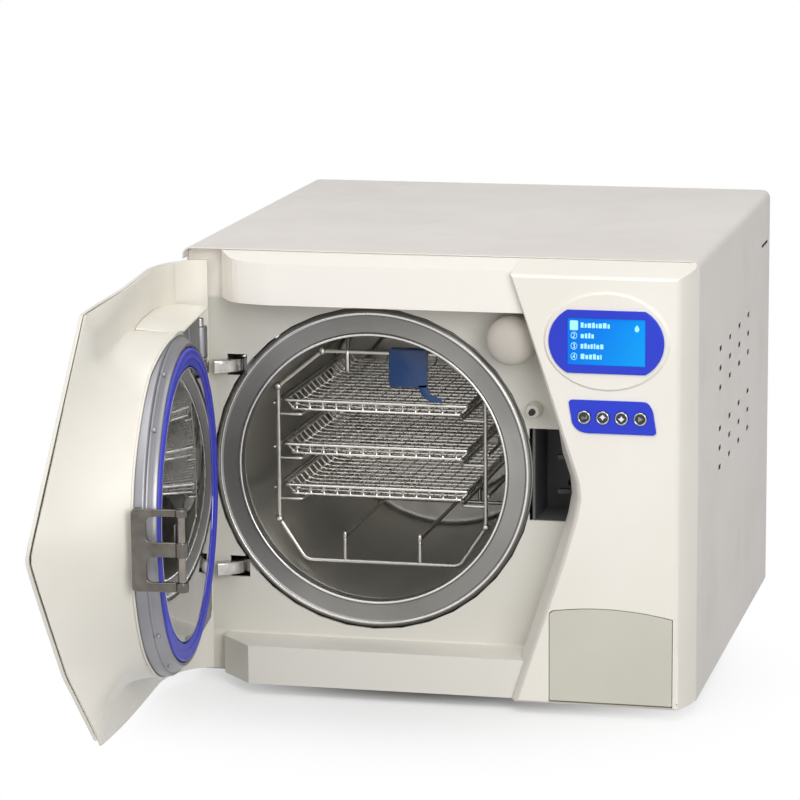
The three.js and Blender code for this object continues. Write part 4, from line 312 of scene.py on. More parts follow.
def spanned(tree, value, low, high):
    """A share that rises from 0 to 1 while a value goes from low to high."""
    return node(tree, "ShaderNodeMapRange", {0: value, 1: low, 2: high}).outputs[0]


def object_place(tree):
    """Each point's place in metres, which stays with the object as it moves."""
    return node(tree, "ShaderNodeTexCoord").outputs["Object"]


def make_grain():
    """Fine grain of a moulding or a paint: small noise as height, and a broad cloud as mottle."""
    tree, given, made = effect("Surface grain", [("Grains per metre", FLOAT, 2500.0),
                               ("Cloud per metre", FLOAT, 9.0)], [("Height", FLOAT), ("Mottle", FLOAT)])
    place = object_place(tree)
    fine = node(tree, "ShaderNodeTexNoise", {"Vector": place, "Scale": given.outputs[0], "Detail": 2.0})
    broad = node(tree, "ShaderNodeTexNoise", {"Vector": place, "Scale": given.outputs[1], "Detail": 3.0})
    tree.links.new(fine.outputs["Fac"], made.inputs["Height"])
    tree.links.new(broad.outputs["Fac"], made.inputs["Mottle"])
    return tree


def make_brushing():
    """Long fine streaks: noise on coordinates that are stretched by a different share each way."""
    tree, given, made = effect("Brushed streaks", [("Stretch", VECTOR, (20.0, 20.0, 1800.0))],
                               [("Height", FLOAT), ("Streak", FLOAT)])
    place = object_place(tree)
    drawn = node(tree, "ShaderNodeVectorMath", {0: place, 1: given.outputs[0]}, operation="MULTIPLY")
    fine = node(tree, "ShaderNodeTexNoise", {"Vector": drawn.outputs[0], "Scale": 1.0, "Detail": 4.0,
                                             "Roughness": 0.65})
    tree.links.new(fine.outputs["Fac"], made.inputs["Height"])
    tree.links.new(spanned(tree, fine.outputs["Fac"], 0.32, 0.68), made.inputs["Streak"])
    return tree


def make_turning():
    """Tool marks of a turned face: noise of the distance from an axis, where the distance is the
    length of the offset from the centre less its share along the axis."""
    tree, given, made = effect("Turned rings", [("Centre", VECTOR, (0.0, 0.0, 0.0)),
                               ("Axis", VECTOR, (0.0, 1.0, 0.0)), ("Rings per metre", FLOAT, 1400.0)],
                               [("Height", FLOAT), ("Streak", FLOAT), ("Painted sheen", FLOAT)])
    place = object_place(tree)
    offset = node(tree, "ShaderNodeVectorMath", {0: place, 1: given.outputs[0]}, operation="SUBTRACT")
    along = node(tree, "ShaderNodeVectorMath", {0: offset.outputs[0], 1: given.outputs[1]},
                 operation="DOT_PRODUCT")
    run = node(tree, "ShaderNodeVectorMath", {0: given.outputs[1], "Scale": along.outputs["Value"]},
               operation="SCALE")
    flat = node(tree, "ShaderNodeVectorMath", {0: offset.outputs[0], 1: run.outputs[0]}, operation="SUBTRACT")
    radius = node(tree, "ShaderNodeVectorMath", {0: flat.outputs[0]}, operation="LENGTH")
    reach = times(tree, radius.outputs["Value"], given.outputs[2])
    rings = node(tree, "ShaderNodeTexNoise", {"W": reach, "Scale": 1.0, "Detail": 3.0},
                 noise_dimensions="1D")
    unit = node(tree, "ShaderNodeVectorMath", {0: flat.outputs[0]}, operation="NORMALIZE")
    # Broad noise by bearing round the axis, used as painted sheen in the colour of turned metal
    sweep = node(tree, "ShaderNodeTexNoise", {"Vector": unit.outputs[0], "Scale": 1.6, "Detail": 1.0})
    tree.links.new(rings.outputs["Fac"], made.inputs["Height"])
    tree.links.new(spanned(tree, rings.outputs["Fac"], 0.35, 0.65), made.inputs["Streak"])
    tree.links.new(sweep.outputs["Fac"], made.inputs["Painted sheen"])
    return tree


def make_handling():
    """Smudges and settled dust: cloudy patches, and a veil that follows how far a face looks up."""
    tree, given, made = effect("Handling", [("Patches per metre", FLOAT, 22.0), ("Veil", FLOAT, 0.5)],
                               [("Smudge", FLOAT), ("Dust", FLOAT)])
    place = object_place(tree)
    cloud = node(tree, "ShaderNodeTexNoise", {"Vector": place, "Scale": given.outputs[0], "Detail": 5.0,
                                              "Roughness": 0.62, "Distortion": 0.6})
    patch = spanned(tree, cloud.outputs["Fac"], 0.5, 0.78)
    facing = node(tree, "ShaderNodeSeparateXYZ", {0: node(tree, "ShaderNodeNewGeometry").outputs["Normal"]})
    veil = times(tree, spanned(tree, facing.outputs["Z"], 0.3, 1.0), given.outputs[1])
    tree.links.new(patch, made.inputs["Smudge"])
    tree.links.new(times(tree, veil, cloud.outputs["Fac"]), made.inputs["Dust"])
    return tree


GRAIN, BRUSHING, TURNING, HANDLING = make_grain(), make_brushing(), make_turning(), make_handling()


def placed_group(tree, group, values=None):
    """One of the shared effects, set into a material with that material's own values."""
    made = node(tree, "ShaderNodeGroup", node_tree=group)
    for key, value in (values or {}).items():
        made.inputs[key].default_value = value
    return made


def mixed(tree, share, low, high):
    """A colour between two others, by a share from 0 to 1."""
    mix = node(tree, "ShaderNodeMix", data_type="RGBA")
    for index, value in ((0, share), (6, low), (7, high)):
        if isinstance(value, bpy.types.NodeSocket):
            tree.links.new(value, mix.inputs[index])
        else:
            mix.inputs[index].default_value = value
    return mix.outputs[2]


def new_finish(name, constants):
    """A material with one Principled shader whose plain values are set on its own sockets."""
    finish = bpy.data.materials.new(name)
    finish.use_nodes = True
    tree = finish.node_tree
    shader = tree.nodes["Principled BSDF"]
    for key, value in constants.items():
        shader.inputs[key].default_value = value
    return finish, tree, shader


def feed(tree, shader, socket, value):
    """Joins an output to one named input of a shader."""
    tree.links.new(value, shader.inputs[socket])


def bumped(tree, shader, height, depth, strength=1.0):
    """A bump of a depth in millimetres from a height of 0 to 1."""
    bump = node(tree, "ShaderNodeBump", {"Height": height, "Strength": strength, "Distance": depth / 1000})
    feed(tree, shader, "Normal", bump.outputs["Normal"])


def ranged(tree, value, low, high):
    """A value of 0 to 1 moved to run from low to high."""
    return node(tree, "ShaderNodeMapRange", {0: value, 3: low, 4: high}).outputs[0]


DUST = tone(196, 190, 178)


def moulded(name, colour, shade, roughness, grains, depth, dust=0.35, coat=0.0):
    """Moulded plastic or paint: a base colour that drifts towards a shade in broad clouds, with
    fine grain as bump, smudges in its gloss and a veil of dust on faces that look up."""
    finish, tree, shader = new_finish(name, {"Roughness": roughness, "Coat Weight": coat,
                                             "Coat Roughness": 0.18, "IOR": 1.47})
    grain = placed_group(tree, GRAIN, {"Grains per metre": grains, "Cloud per metre": 6.0})
    touch = placed_group(tree, HANDLING, {"Patches per metre": 18.0, "Veil": dust})
    body = mixed(tree, spanned(tree, grain.outputs["Mottle"], 0.35, 0.7), tone(*colour), tone(*shade))
    soiled = mixed(tree, times(tree, touch.outputs["Dust"], 0.5), body, DUST)
    feed(tree, shader, "Base Color", soiled)
    feed(tree, shader, "Roughness", ranged(tree, touch.outputs["Smudge"], roughness, roughness + 0.14))
    bumped(tree, shader, grain.outputs["Height"], depth)
    return finish


def brushed(name, colour, worn, roughness, stretch, depth, stain=0.3):
    """Brushed metal: streaks in its colour, its gloss and its height, and a dull stain in patches.
    The stretch is one number for marks that run all ways, or one for each axis."""
    finish, tree, shader = new_finish(name, {"Metallic": 1.0, "Roughness": roughness})
    streaks = placed_group(tree, BRUSHING, {"Stretch": [float(way) for way in np.broadcast_to(stretch, 3)]})
    touch = placed_group(tree, HANDLING, {"Patches per metre": 30.0, "Veil": 0.2})
    metal = mixed(tree, streaks.outputs["Streak"], tone(*worn), tone(*colour))
    dulled = mixed(tree, times(tree, touch.outputs["Smudge"], stain), metal, tone(*worn))
    feed(tree, shader, "Base Color", dulled)
    drawn = ranged(tree, streaks.outputs["Streak"], roughness - 0.05, roughness + 0.06)
    gloss = math_node(tree, "ADD", drawn, times(tree, touch.outputs["Smudge"], 0.12))
    feed(tree, shader, "Roughness", gloss)
    bumped(tree, shader, streaks.outputs["Height"], depth)
    return finish


def turned_metal(name, colour, worn, roughness, about, rings, depth):
    """Turned metal: rings round an axis, and a broad light and dark sweep round it that is painted sheen:
    the lobes a turned face shows in its reflections, put into its colour. What it is turned about is
    a centre and a direction."""
    finish, tree, shader = new_finish(name, {"Metallic": 1.0, "Roughness": roughness})
    marks = placed_group(tree, TURNING, {"Centre": about[0], "Axis": about[1], "Rings per metre": rings})
    touch = placed_group(tree, HANDLING, {"Patches per metre": 26.0, "Veil": 0.2})
    # Painted sheen: the colour goes light and dark by bearing round the axis
    sweep = spanned(tree, marks.outputs["Painted sheen"], 0.45, 0.7)
    share = math_node(tree, "ADD", times(tree, marks.outputs["Streak"], 0.3), times(tree, sweep, 0.7))
    metal = mixed(tree, share, tone(*worn), tone(*colour))
    dulled = mixed(tree, times(tree, touch.outputs["Smudge"], 0.25), metal, tone(*worn))
    feed(tree, shader, "Base Color", dulled)
    cut = ranged(tree, marks.outputs["Streak"], roughness - 0.04, roughness + 0.05)
    gloss = math_node(tree, "ADD", cut, times(tree, touch.outputs["Smudge"], 0.1))
    feed(tree, shader, "Roughness", gloss)
    bumped(tree, shader, marks.outputs["Height"], depth)
    return finish


SEAL_DEPTH = 15.0
ROUND_CHAMBER = (tuple(map(float, placed([CHAMBER[0], FLANGE_Y, CHAMBER[1]]))), (0.0, 1.0, 0.0))
ROUND_CARRIER = (tuple(map(float, placed(swung([CARRIER[0], SEAL_DEPTH, CARRIER[1]])))),
                 (math.sin(DOOR_OPEN), math.cos(DOOR_OPEN), 0.0))

# Each moulding: its colour and the shade it drifts to, roughness, grains per metre, depth of the
# grain in mm, dust and clear coat
PAINT = moulded("White powder coat", (228, 222, 216), (219, 213, 207), 0.4, 900.0, 0.05, 0.45)
IVORY = moulded("Ivory moulding", (244, 240, 231), (238, 233, 222), 0.36, 2600.0, 0.02, 0.25, 0.15)
DOOR_SKIN = moulded("Door moulding", (236, 232, 222), (226, 222, 211), 0.34, 2600.0, 0.02, 0.3, 0.2)
RECESS = moulded("Grey moulding", (214, 211, 201), (204, 201, 190), 0.44, 2400.0, 0.03, 0.35)
# The filter cap's colour is darker than the recess moulding round it: painted shade for the shade it stands
# in under the header and beside the column
FILTER_CAP = moulded("Filter cap moulding", (202, 196, 186), (192, 186, 176), 0.4, 2400.0, 0.02, 0.2)
FLAP = moulded("Flap moulding", (213, 210, 198), (204, 201, 188), 0.46, 2400.0, 0.03, 0.3)
BLACK = moulded("Black moulding", (44, 44, 46), (34, 34, 35), 0.5, 1800.0, 0.04, 0.25)
# The latch housing is black plastic: its mid grey here is painted light for the shade it sits in behind the
# column
LATCH_BLACK = moulded("Latch moulding", (98, 98, 100), (80, 80, 82), 0.42, 1500.0, 0.04, 0.35)
TANK = moulded("Natural moulding", (221, 225, 224), (206, 212, 212), 0.38, 1500.0, 0.03, 0.3)
BLUE_PRINT = moulded("Blue membrane", (26, 54, 208), (20, 46, 194), 0.3, 1400.0, 0.01, 0.1, 0.2)
BLUE_PLASTIC = moulded("Blue moulding", (13, 62, 116), (9, 48, 94), 0.26, 1600.0, 0.02, 0.1, 0.4)
RUBBER = moulded("Blue silicone", (68, 72, 204), (52, 58, 180), 0.42, 3200.0, 0.02, 0.15)
BLANKET = moulded("Quilted blanket", (205, 202, 192), (186, 182, 171), 0.85, 420.0, 0.9, 0.3)
BOARD = moulded("Circuit board", (34, 92, 60), (27, 76, 50), 0.5, 700.0, 0.05, 0.1)
FOOT = moulded("Foot rubber", (38, 38, 39), (30, 30, 31), 0.72, 1800.0, 0.05, 0.2)
SIGN_WHITE = moulded("White print", (238, 240, 244), (228, 231, 238), 0.4, 2000.0, 0.005, 0.0)
SIGN_GREY = moulded("Grey print", (150, 150, 150), (132, 132, 133), 0.4, 2000.0, 0.005, 0.0)
BUTTON_FACE = moulded("Button face", (26, 27, 34), (18, 19, 24), 0.3, 2200.0, 0.01, 0.1, 0.5)

# Each turned metal: its colour, the colour of its marks, roughness, what it is turned about, rings
# per metre and their depth in mm
FLANGE_STEEL = turned_metal("Turned flange", (160, 158, 154), (138, 136, 132), 0.5, ROUND_CHAMBER, 900.0,
                            0.01)
VESSEL_STEEL = turned_metal("Drawn vessel", (212, 210, 204), (188, 186, 180), 0.42, ROUND_CHAMBER, 700.0,
                            0.004)
DISC_STEEL = turned_metal("Polished disc", (186, 187, 189), (172, 173, 176), 0.025, ROUND_CARRIER, 300.0,
                          0.0002)
CARRIER_ALLOY = turned_metal("Turned casting", (164, 164, 168), (138, 138, 142), 0.42, ROUND_CARRIER, 900.0,
                             0.012)

# Each brushed metal: its colour, the colour of its marks, roughness, marks per metre, their depth in
# mm and its stain
WIRE_STEEL = brushed("Electropolished wire", (200, 197, 190), (182, 179, 172), 0.3, 80.0, 0.001, 0.1)
TRAY_STEEL = brushed("Bright tray wire", (240, 237, 232), (222, 218, 212), 0.28, 70.0, 0.001, 0.1)
BRACKET_STEEL = brushed("Polished bracket", (122, 117, 110), (100, 95, 90), 0.2, 90.0, 0.003, 0.1)
LIP_STEEL = brushed("Bright lip", (236, 234, 230), (220, 218, 214), 0.24, 60.0, 0.001, 0.1)
HOOK_STEEL = brushed("Blackened hook", (74, 73, 72), (56, 56, 55), 0.3, 90.0, 0.003, 0.1)
PIN_STEEL = brushed("Polished pin", (158, 152, 144), (134, 128, 121), 0.16, 90.0, 0.002, 0.1)
ARM_STEEL = brushed("Polished arm", (206, 204, 200), (180, 177, 172), 0.18, 120.0, 0.003, 0.1)
PLAIN_STEEL = brushed("Sheet steel", (178, 178, 176), (140, 140, 139), 0.36, (30.0, 900.0, 30.0), 0.02)
ALLOY = brushed("Cast alloy", (176, 178, 184), (142, 144, 150), 0.42, 420.0, 0.06)
BRASS = brushed("Turned brass", (196, 158, 82), (148, 112, 52), 0.26, 500.0, 0.01)


def front_moulding():
    """The front moulding: an ivory header and plinth with a greyer recess between, told apart by
    their height, with the same grain and dust as the other mouldings."""
    finish, tree, shader = new_finish("Front moulding", {"Roughness": 0.42, "IOR": 1.47})
    grain = placed_group(tree, GRAIN, {"Grains per metre": 2400.0, "Cloud per metre": 6.0})
    touch = placed_group(tree, HANDLING, {"Patches per metre": 18.0, "Veil": 0.3})
    height = node(tree, "ShaderNodeSeparateXYZ", {0: object_place(tree)}).outputs["Z"]
    header_foot, header_full = 355.0, 358.6
    plinth_top, plinth_full = 41.0, 38.4
    level = [float(placed([0, 0, z])[2]) for z in (header_foot, header_full, plinth_top, plinth_full)]
    recess = mixed(tree, grain.outputs["Mottle"], tone(221, 218, 209), tone(212, 209, 199))
    lower = mixed(tree, spanned(tree, height, *level[2:]), recess, tone(228, 225, 216))
    body = mixed(tree, spanned(tree, height, *level[:2]), lower, tone(247, 242, 234))
    soiled = mixed(tree, times(tree, touch.outputs["Dust"], 0.4), body, DUST)
    feed(tree, shader, "Base Color", soiled)
    feed(tree, shader, "Roughness", ranged(tree, touch.outputs["Smudge"], 0.38, 0.52))
    bumped(tree, shader, grain.outputs["Height"], 0.03)
    return finish


FRONT_MOULDING = front_moulding()


def lit_display():
    """The display window: deep blue at its left foot to pale cyan at its right head, lit from
    behind, with the fine grid of its cells in the height."""
    finish, tree, shader = new_finish("Lit display", {"Roughness": 0.12, "Specular IOR Level": 0.15,
                                                      "Emission Strength": 0.3})
    place = object_place(tree)
    split = node(tree, "ShaderNodeSeparateXYZ", {0: place})
    low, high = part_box("display_screen")
    across = spanned(tree, split.outputs["X"], float(low[0]), float(high[0]))
    climb = spanned(tree, split.outputs["Z"], float(low[2]), float(high[2]))
    share = math_node(tree, "ADD", times(tree, across, 0.6), times(tree, climb, -0.25))
    ramp = mixed(tree, share, tone(0, 112, 216), tone(8, 170, 232))
    feed(tree, shader, "Base Color", ramp)
    feed(tree, shader, "Emission Color", ramp)
    cells = node(tree, "ShaderNodeTexVoronoi", {"Vector": place, "Scale": 900.0}, distance="CHEBYCHEV")
    bumped(tree, shader, cells.outputs["Distance"], 0.01, 0.3)
    return finish


LIT_DISPLAY = lit_display()


def lit_signs():
    """The lit cells of the display: pale, brighter than what lies behind them."""
    finish, tree, shader = new_finish("Lit signs", {"Roughness": 0.3, "Emission Strength": 0.55})
    cells = node(tree, "ShaderNodeTexVoronoi", {"Vector": object_place(tree), "Scale": 1100.0},
                 distance="CHEBYCHEV")
    light = mixed(tree, cells.outputs["Distance"], tone(160, 220, 236), tone(122, 198, 228))
    feed(tree, shader, "Base Color", light)
    feed(tree, shader, "Emission Color", light)
    return finish


LIT_SIGNS = lit_signs()


# Cabinet


def cabinet_solids():
    """The sheet, frame and hidden pieces keep the form of their solids, with eased edges."""
    eased("wrap_cover", "cabinet", PAINT, 0.5)
    eased("rear_panel", "cabinet", PAINT, 0.3)
    eased("base_tray", "cabinet", PLAIN_STEEL, 0.4)
    eased("front_frame", "cabinet", FRONT_MOULDING, 0.8, 3, join=False)
    eased("control_fascia", "cabinet", IVORY, 0.7, 3)
    eased("service_flap", "flap", FLAP, 0.5, 3)
    eased("service_compartment", "cabinet", BLACK, 0.4)
    eased("latch_housing", "cabinet", LATCH_BLACK, 0.5)
    eased("door_switch_boss", "cabinet", RECESS, 0.5)
    for node_name in ("latch_hook_upper", "latch_hook_lower"):
        eased(node_name, "latch", HOOK_STEEL, 0.3)
    for node_name in ("saddle_front", "saddle_rear", "tank_bracket"):
        eased(node_name, "cabinet", PLAIN_STEEL, 0.2)
    eased("water_tank", "cabinet", TANK, 1.5, 3)
    eased("condenser", "cabinet", ALLOY, 0.2)
    eased("fan_frame", "cabinet", BLACK, 0.4)
    eased("power_inlet", "cabinet", BLACK, 0.3)


def plain_solids():
    """Small or hidden pieces whose solids are right as they are only take their finish."""
    for node_name, finish in {
        "flap_hinge_pin": PLAIN_STEEL, "drain_valve_clean": BLUE_PLASTIC, "drain_valve_used": BLACK,
        "control_board": BOARD, "door_switch_plunger": HOOK_STEEL, "latch_shaft": PLAIN_STEEL,
        "lock_motor": PLAIN_STEEL, "insulation_jacket": BLANKET, "steam_generator": PLAIN_STEEL,
        "vacuum_pump": ALLOY, "fan_rotor": BLACK, "exhaust_outlet": BRASS, "foot_left_front": FOOT,
        "foot_left_rear": FOOT, "foot_right_front": FOOT, "foot_right_rear": FOOT,
    }.items():
        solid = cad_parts[node_name]
        if not solid.material_slots:
            solid.data.materials.append(finish)
        for place in solid.material_slots:
            place.material = finish


def chamber():
    """The flange: a flat ring between two proud lips, with a step behind the outer one. The vessel:
    a tube whose back is flat. Each is a profile turned about the chamber's axis."""
    back = FLANGE_Y + 11.0
    ring = rounded([[125, 59.85], [125.85, 59], [127.8, 59], [128.6, 60.9], [143.6, 60.9], [144.6, 60],
                    [147.2, 60], [149.2, 61.6], [149.2, 62.8], [150.6, 63.4], [150.6, back], [125, back]],
                   [0.3, 0.5, 0.5, 0.5, 0.6, 0.6, 1.0, 0.8, 0.5, 0.6, 0.4, 0.4], 5, True)
    lug = [[52, 63.6], [80, 63.6], [80, back - 0.6], [52, back - 0.6]]
    lugs = [slab_of(lug, low, low + ARM_HEIGHT, 0.4, "z") for low in ARM_LEVELS.values()]
    shape("flange_ring", [skin(turned(ring, CHAMBER, 180), wrap=(True, True))] + lugs, "cabinet",
          FLANGE_STEEL, ("chamber_flange",))
    half, root = 1.1, 60.6
    lips = []
    for radius, front in ((126.5, 58.7), (146.0, 59.5)):
        lip = rounded([[radius - half, root], [radius - half, front], [radius + half, front],
                       [radius + half, root]], [0.2, 1.0, 1.0, 0.2], 6, True)
        lips.append(skin(turned(lip, CHAMBER, 180), wrap=(True, True)))
    shape("flange_lips", lips, "cabinet", LIP_STEEL)
    front, rear, outside = 71.7, FLANGE_Y + 325.0, FLANGE_Y + 329.0
    wall = rounded([[0, rear - 3], [92, rear - 3], [95, rear], [122, rear], [125, rear - 3], [125, front],
                    [127.5, front], [127.5, outside - 4], [123.5, outside], [0, outside]],
                   [0, 3, 3, 3, 3, 0.4, 0.4, 3, 3, 0], 6)
    shape("chamber_wall", [skin(turned(wall, CHAMBER, 144))], "cabinet", VESSEL_STEEL,
          ("chamber_vessel",))


def filter_cap():
    """The bacterial filter: a shallow round cap with a soft rim on a short stem."""
    turn = np.radians(np.linspace(0, 90, 14))
    dome = np.stack([22.8 * np.sin(turn), 20 + 11 * (1 - np.cos(turn))], 1)
    base = rounded([[22.8, 33], [22.8, 54.7], [24.5, 54.7], [24.5, 59.7], [7, 59.7], [7, 71.7], [0, 71.7]],
                   [0, 0.6, 0.8, 0.8, 0.5, 0.8, 0], 5)
    shape("filter_cap", [skin(turned(np.concatenate([dome, base]), (310.7, 330.0), 96))], "cabinet",
          FILTER_CAP, ("bacterial_filter",))


# Door: drawn shut, with x as the distance from the hinge axis along the door and y as minus the
# stand-out of its outer face, then swung open by shape()

SKIN_WALL = 3.0
SKIN_FACE = 39.0
DOOR_TOP = 392.5
COLUMN_GAP = 4.3
MID_LEVEL = 193.0
CASTING_EDGE = 152.4


def column_edge(z):
    """The column's left edge: straight from foot to hip, a Catmull-Rom nose through hip, nose and
    shoulder, then straight to the top."""
    t = np.linspace(0, 1, 24)[:, None]
    hip, nose, shoulder = np.array([366.0, 138.0]), np.array([379.7, 193.0]), np.array([371.0, 230.0])

    def arc(p0, p1, p2, p3):
        v0, v1 = (p2 - p0) / 2, (p3 - p1) / 2
        return ((2 * p1 - 2 * p2 + v0 + v1) * t ** 3 + (3 * p2 - 3 * p1 - 2 * v0 - v1) * t ** 2 + v0 * t + p1)

    line = np.concatenate([[[321.5, 2.0]], arc(hip, hip, nose, shoulder),
                           arc(hip, nose, shoulder, shoulder)[1:], [[316.5, 395.0]]])
    return np.interp(z, line[:, 1], line[:, 0])


def free_edge(z):
    """The door's free edge follows the column, one gap to its left."""
    return column_edge(np.clip(z, 2, 395)) - COLUMN_GAP - HINGE[0]


def skin_stand_out(u, z):
    """The outer skin: a quarter ellipse to u = 60, then a flat face that swells by t^2 (3 - 2t) from
    0.3 of the width to the free edge. The edge stands 37 mm out at the foot, 84 mm at the middle and
    46 mm at the top."""
    across = np.clip(1 - (u + 13) / 73, 0, 1)
    corner = -6 + 45 * np.sqrt(1 - across ** 2)
    share = (u - 60) / (free_edge(z) - 60)
    t = np.clip((share - 0.3) / 0.7, 0, 1)
    free = np.interp(z, [4, 24, 85, MID_LEVEL, DOOR_TOP], [37, 40, 62, 84.2, 46])
    return np.where(u < 60, corner, SKIN_FACE + (free - SKIN_FACE) * t * t * (3 - 2 * t))


def door_shell():
    """The outer skin as a grid of 24 steps round the hinge corner and 40 across the front, 64 up,
    with the inner skin 3 mm behind it along each level's own normal."""
    turn = np.radians(np.linspace(0, 90, 25))
    run = np.linspace(0, 1, 41)[1:]
    u_corner = np.concatenate([-13 + 73 * (1 - np.cos(turn)), np.full(40, 60.0)])
    share = np.concatenate([np.zeros(25), run])
    reach = (u_corner + 13 + share * (free_edge(MID_LEVEL) - 60)) / (free_edge(MID_LEVEL) + 13)
    foot = 4 + 20 * reach ** 2
    climb = np.linspace(0, 1, 65)[:, None]
    z = foot + (DOOR_TOP - foot) * climb
    u = np.where(share > 0, 60 + share * (free_edge(z) - 60), u_corner)
    w = skin_stand_out(u, z)
    w[:, :25] = -6 + 45 * np.sin(turn)
    front = np.stack([u, -w, z], -1)
    slope = np.gradient(front[..., :2], axis=1)
    slope /= np.linalg.norm(slope, axis=-1, keepdims=True)
    back = front.copy()
    back[..., 0] -= SKIN_WALL * slope[..., 1]
    back[..., 1] += SKIN_WALL * slope[..., 0]
    loop = np.concatenate([front, back[::-1]])
    sides = [skin(np.stack([front[:, c], back[:, c]], 1), wrap=(False, False)) for c in (0, -1)]
    piece = shape("door_cover", [skin(loop, wrap=(True, False))] + sides, "door", DOOR_SKIN,
                  ("door_shell",), on_door=True)
    soften(piece, 0.5)


def soften(piece, width, segments=3, angle=40.0):
    """A small round on the edges past an angle."""
    bevel = piece.modifiers.new("soft edges", "BEVEL")
    bevel.width, bevel.segments = width / 1000, segments
    bevel.limit_method, bevel.angle_limit = "ANGLE", math.radians(angle)
    bevel.harden_normals = True
    return bevel


def thickened(face, wall):
    """A grid whose columns wrap, with its back moved along the surface's normal by the wall."""
    along = np.gradient(face, axis=0)
    round_about = np.roll(face, -1, 1) - np.roll(face, 1, 1)
    normal = np.cross(along, round_about)
    normal /= np.linalg.norm(normal, axis=-1, keepdims=True) + 1e-12
    return np.concatenate([face, (face + wall * normal)[::-1]])


def liner_rim():
    """The liner's outer edge as u and z: foot, free side, top and hinge side, 48 points each."""
    def foot(u):
        return 4.6 + 20 * ((u + 13) / (free_edge(MID_LEVEL) + 13)) ** 2

    t = np.arange(48) / 48
    inset, hinge_u, top_z = 0.3, 9.0, 392.1
    foot_u, top_u = free_edge(24.0) - inset, free_edge(DOOR_TOP) - inset
    along_foot = hinge_u + (foot_u - hinge_u) * t
    up_free = foot(foot_u) + (top_z - foot(foot_u)) * t
    down_hinge = top_z + (foot(hinge_u) - top_z) * t
    return np.concatenate([np.stack([along_foot, foot(along_foot)], 1),
                           np.stack([free_edge(up_free) - inset, up_free], 1),
                           np.stack([top_u + (hinge_u - top_u) * t, np.full(48, top_z)], 1),
                           np.stack([np.full(48, hinge_u), down_hinge], 1)])


def liner_edge_depth(bearing):
    """The depth of the liner's inner edge at each bearing round the casting, from below through the
    free side to the top."""
    table = [(-180, 5.8), (-112, 5.8), (-104, 2.5), (-90, 2.5), (-58, 2.5), (-45, 3.5), (-16, 3.5), (0, 2.6),
             (23, 2.2), (46, 0.4), (59, -0.6), (66, -2.8), (74, -5.2), (85, -7.9), (104, -8.2), (112, 5.8),
             (180, 5.8)]
    return np.interp(bearing, *zip(*table))


def door_liner():
    """From an edge round the casting the liner opens as a bowl,
    w = near + (level - near) g + (edge - level) run^p with g = 1 - (1 - run / meets)^2.15, where
    meets is the share of the way at which it reaches the flat band at the header's or the plinth's
    level. A shelf covers the upper ear and a bead runs along the bowl's edge."""
    rim = liner_rim()
    offset = rim - np.array(CARRIER)
    length = np.linalg.norm(offset, axis=1)
    cosine = offset[:, 0] / length
    start = np.array(CARRIER) + CASTING_EDGE * offset / length[:, None]
    start[:, 0] = np.maximum(24, start[:, 0])
    reach = rim[:, 1] - start[:, 1]
    header_level, plinth_level = 355.0, 44.0
    ledge = np.where(reach > 0, header_level, plinth_level)
    meets = np.clip((ledge - start[:, 1]) / np.where(np.abs(reach) < 1, 1, reach), 0.03, 0.94)
    crossed = np.where(reach > 0, rim[:, 1] > ledge, rim[:, 1] < ledge)
    meets = np.where(crossed, meets, 0.94)
    free = np.clip((cosine + 0.2) / 0.3, 0, 1)
    meets = 0.03 + (meets - 0.03) * free * free * (3 - 2 * free)
    run = np.concatenate([np.linspace(0, 1, 31)[None].T * meets,
                          meets + np.linspace(0, 1, 19)[1:, None] * (1 - meets)])
    place = start + (rim - start) * run[..., None]
    u, z = place[..., 0], place[..., 1]
    step = 3.0

    def inner(u, z):
        slope = (skin_stand_out(u + step, z) - skin_stand_out(u, z)) / step
        return skin_stand_out(u, z) - SKIN_WALL * np.hypot(1, np.maximum(0, slope))

    t = np.clip((cosine - 0.3) / 0.5, 0, 1)
    open_side = t * t * (3 - 2 * t)
    near = liner_edge_depth(np.degrees(np.arctan2(offset[:, 1], offset[:, 0])))
    g = 1 - (1 - np.minimum(1, run / meets)) ** 2.15
    level = np.minimum(33.1, inner(u, z) - 2.9)
    edge = inner(rim[:, 0], rim[:, 1]) - 2.4
    w = near + (level - near) * g + (edge - level) * run ** (6 - 4.4 * open_side)
    face = np.stack([u, -w, z], -1)
    along = np.linspace(3, 131, 40)
    back = np.minimum(33.5, inner(along, 353.0) - 3.4)
    dip = 2.4 * np.clip((along - 96) / 35, 0, 1) ** 2
    front, shelf_top, slant = 8.3, 351.0, 0.103
    top = shelf_top + (back + front) * slant - dip
    lip = np.full(40, front)
    shelf = np.stack([np.stack([along, lip, np.full(40, 348.4)], 1),
                      np.stack([along, lip, shelf_top - dip], 1),
                      np.stack([along, -back, top], 1), np.stack([along, -back, top - 2.2], 1)], 1)
    bearing = np.linspace(103, -98, 120)
    radius = CASTING_EDGE + 1.0
    ring = np.stack([CARRIER[0] + radius * np.cos(np.radians(bearing)), 0.2 - liner_edge_depth(bearing),
                     CARRIER[1] + radius * np.sin(np.radians(bearing))], 1)
    bead = np.concatenate([[[4, front, 349.9], [60, front, 349.9]], ring])
    piece = shape("door_inner_moulding", [skin(thickened(face, 2.0), wrap=(True, True)),
                                          skin(shelf, caps=(True, True)),
                                          tube_of(even(bead, 2.5), 1.1, (0, 1, 0), 8)], "door",
                  DOOR_SKIN, ("door_liner",), on_door=True, sharp=50)
    soften(piece, 0.35, 2, 50.0)


def ring_on_door(profile, steps=180):
    """A profile of (radius, depth) turned about the carrier's axis, with the door drawn shut."""
    return turned(profile, CARRIER, steps)


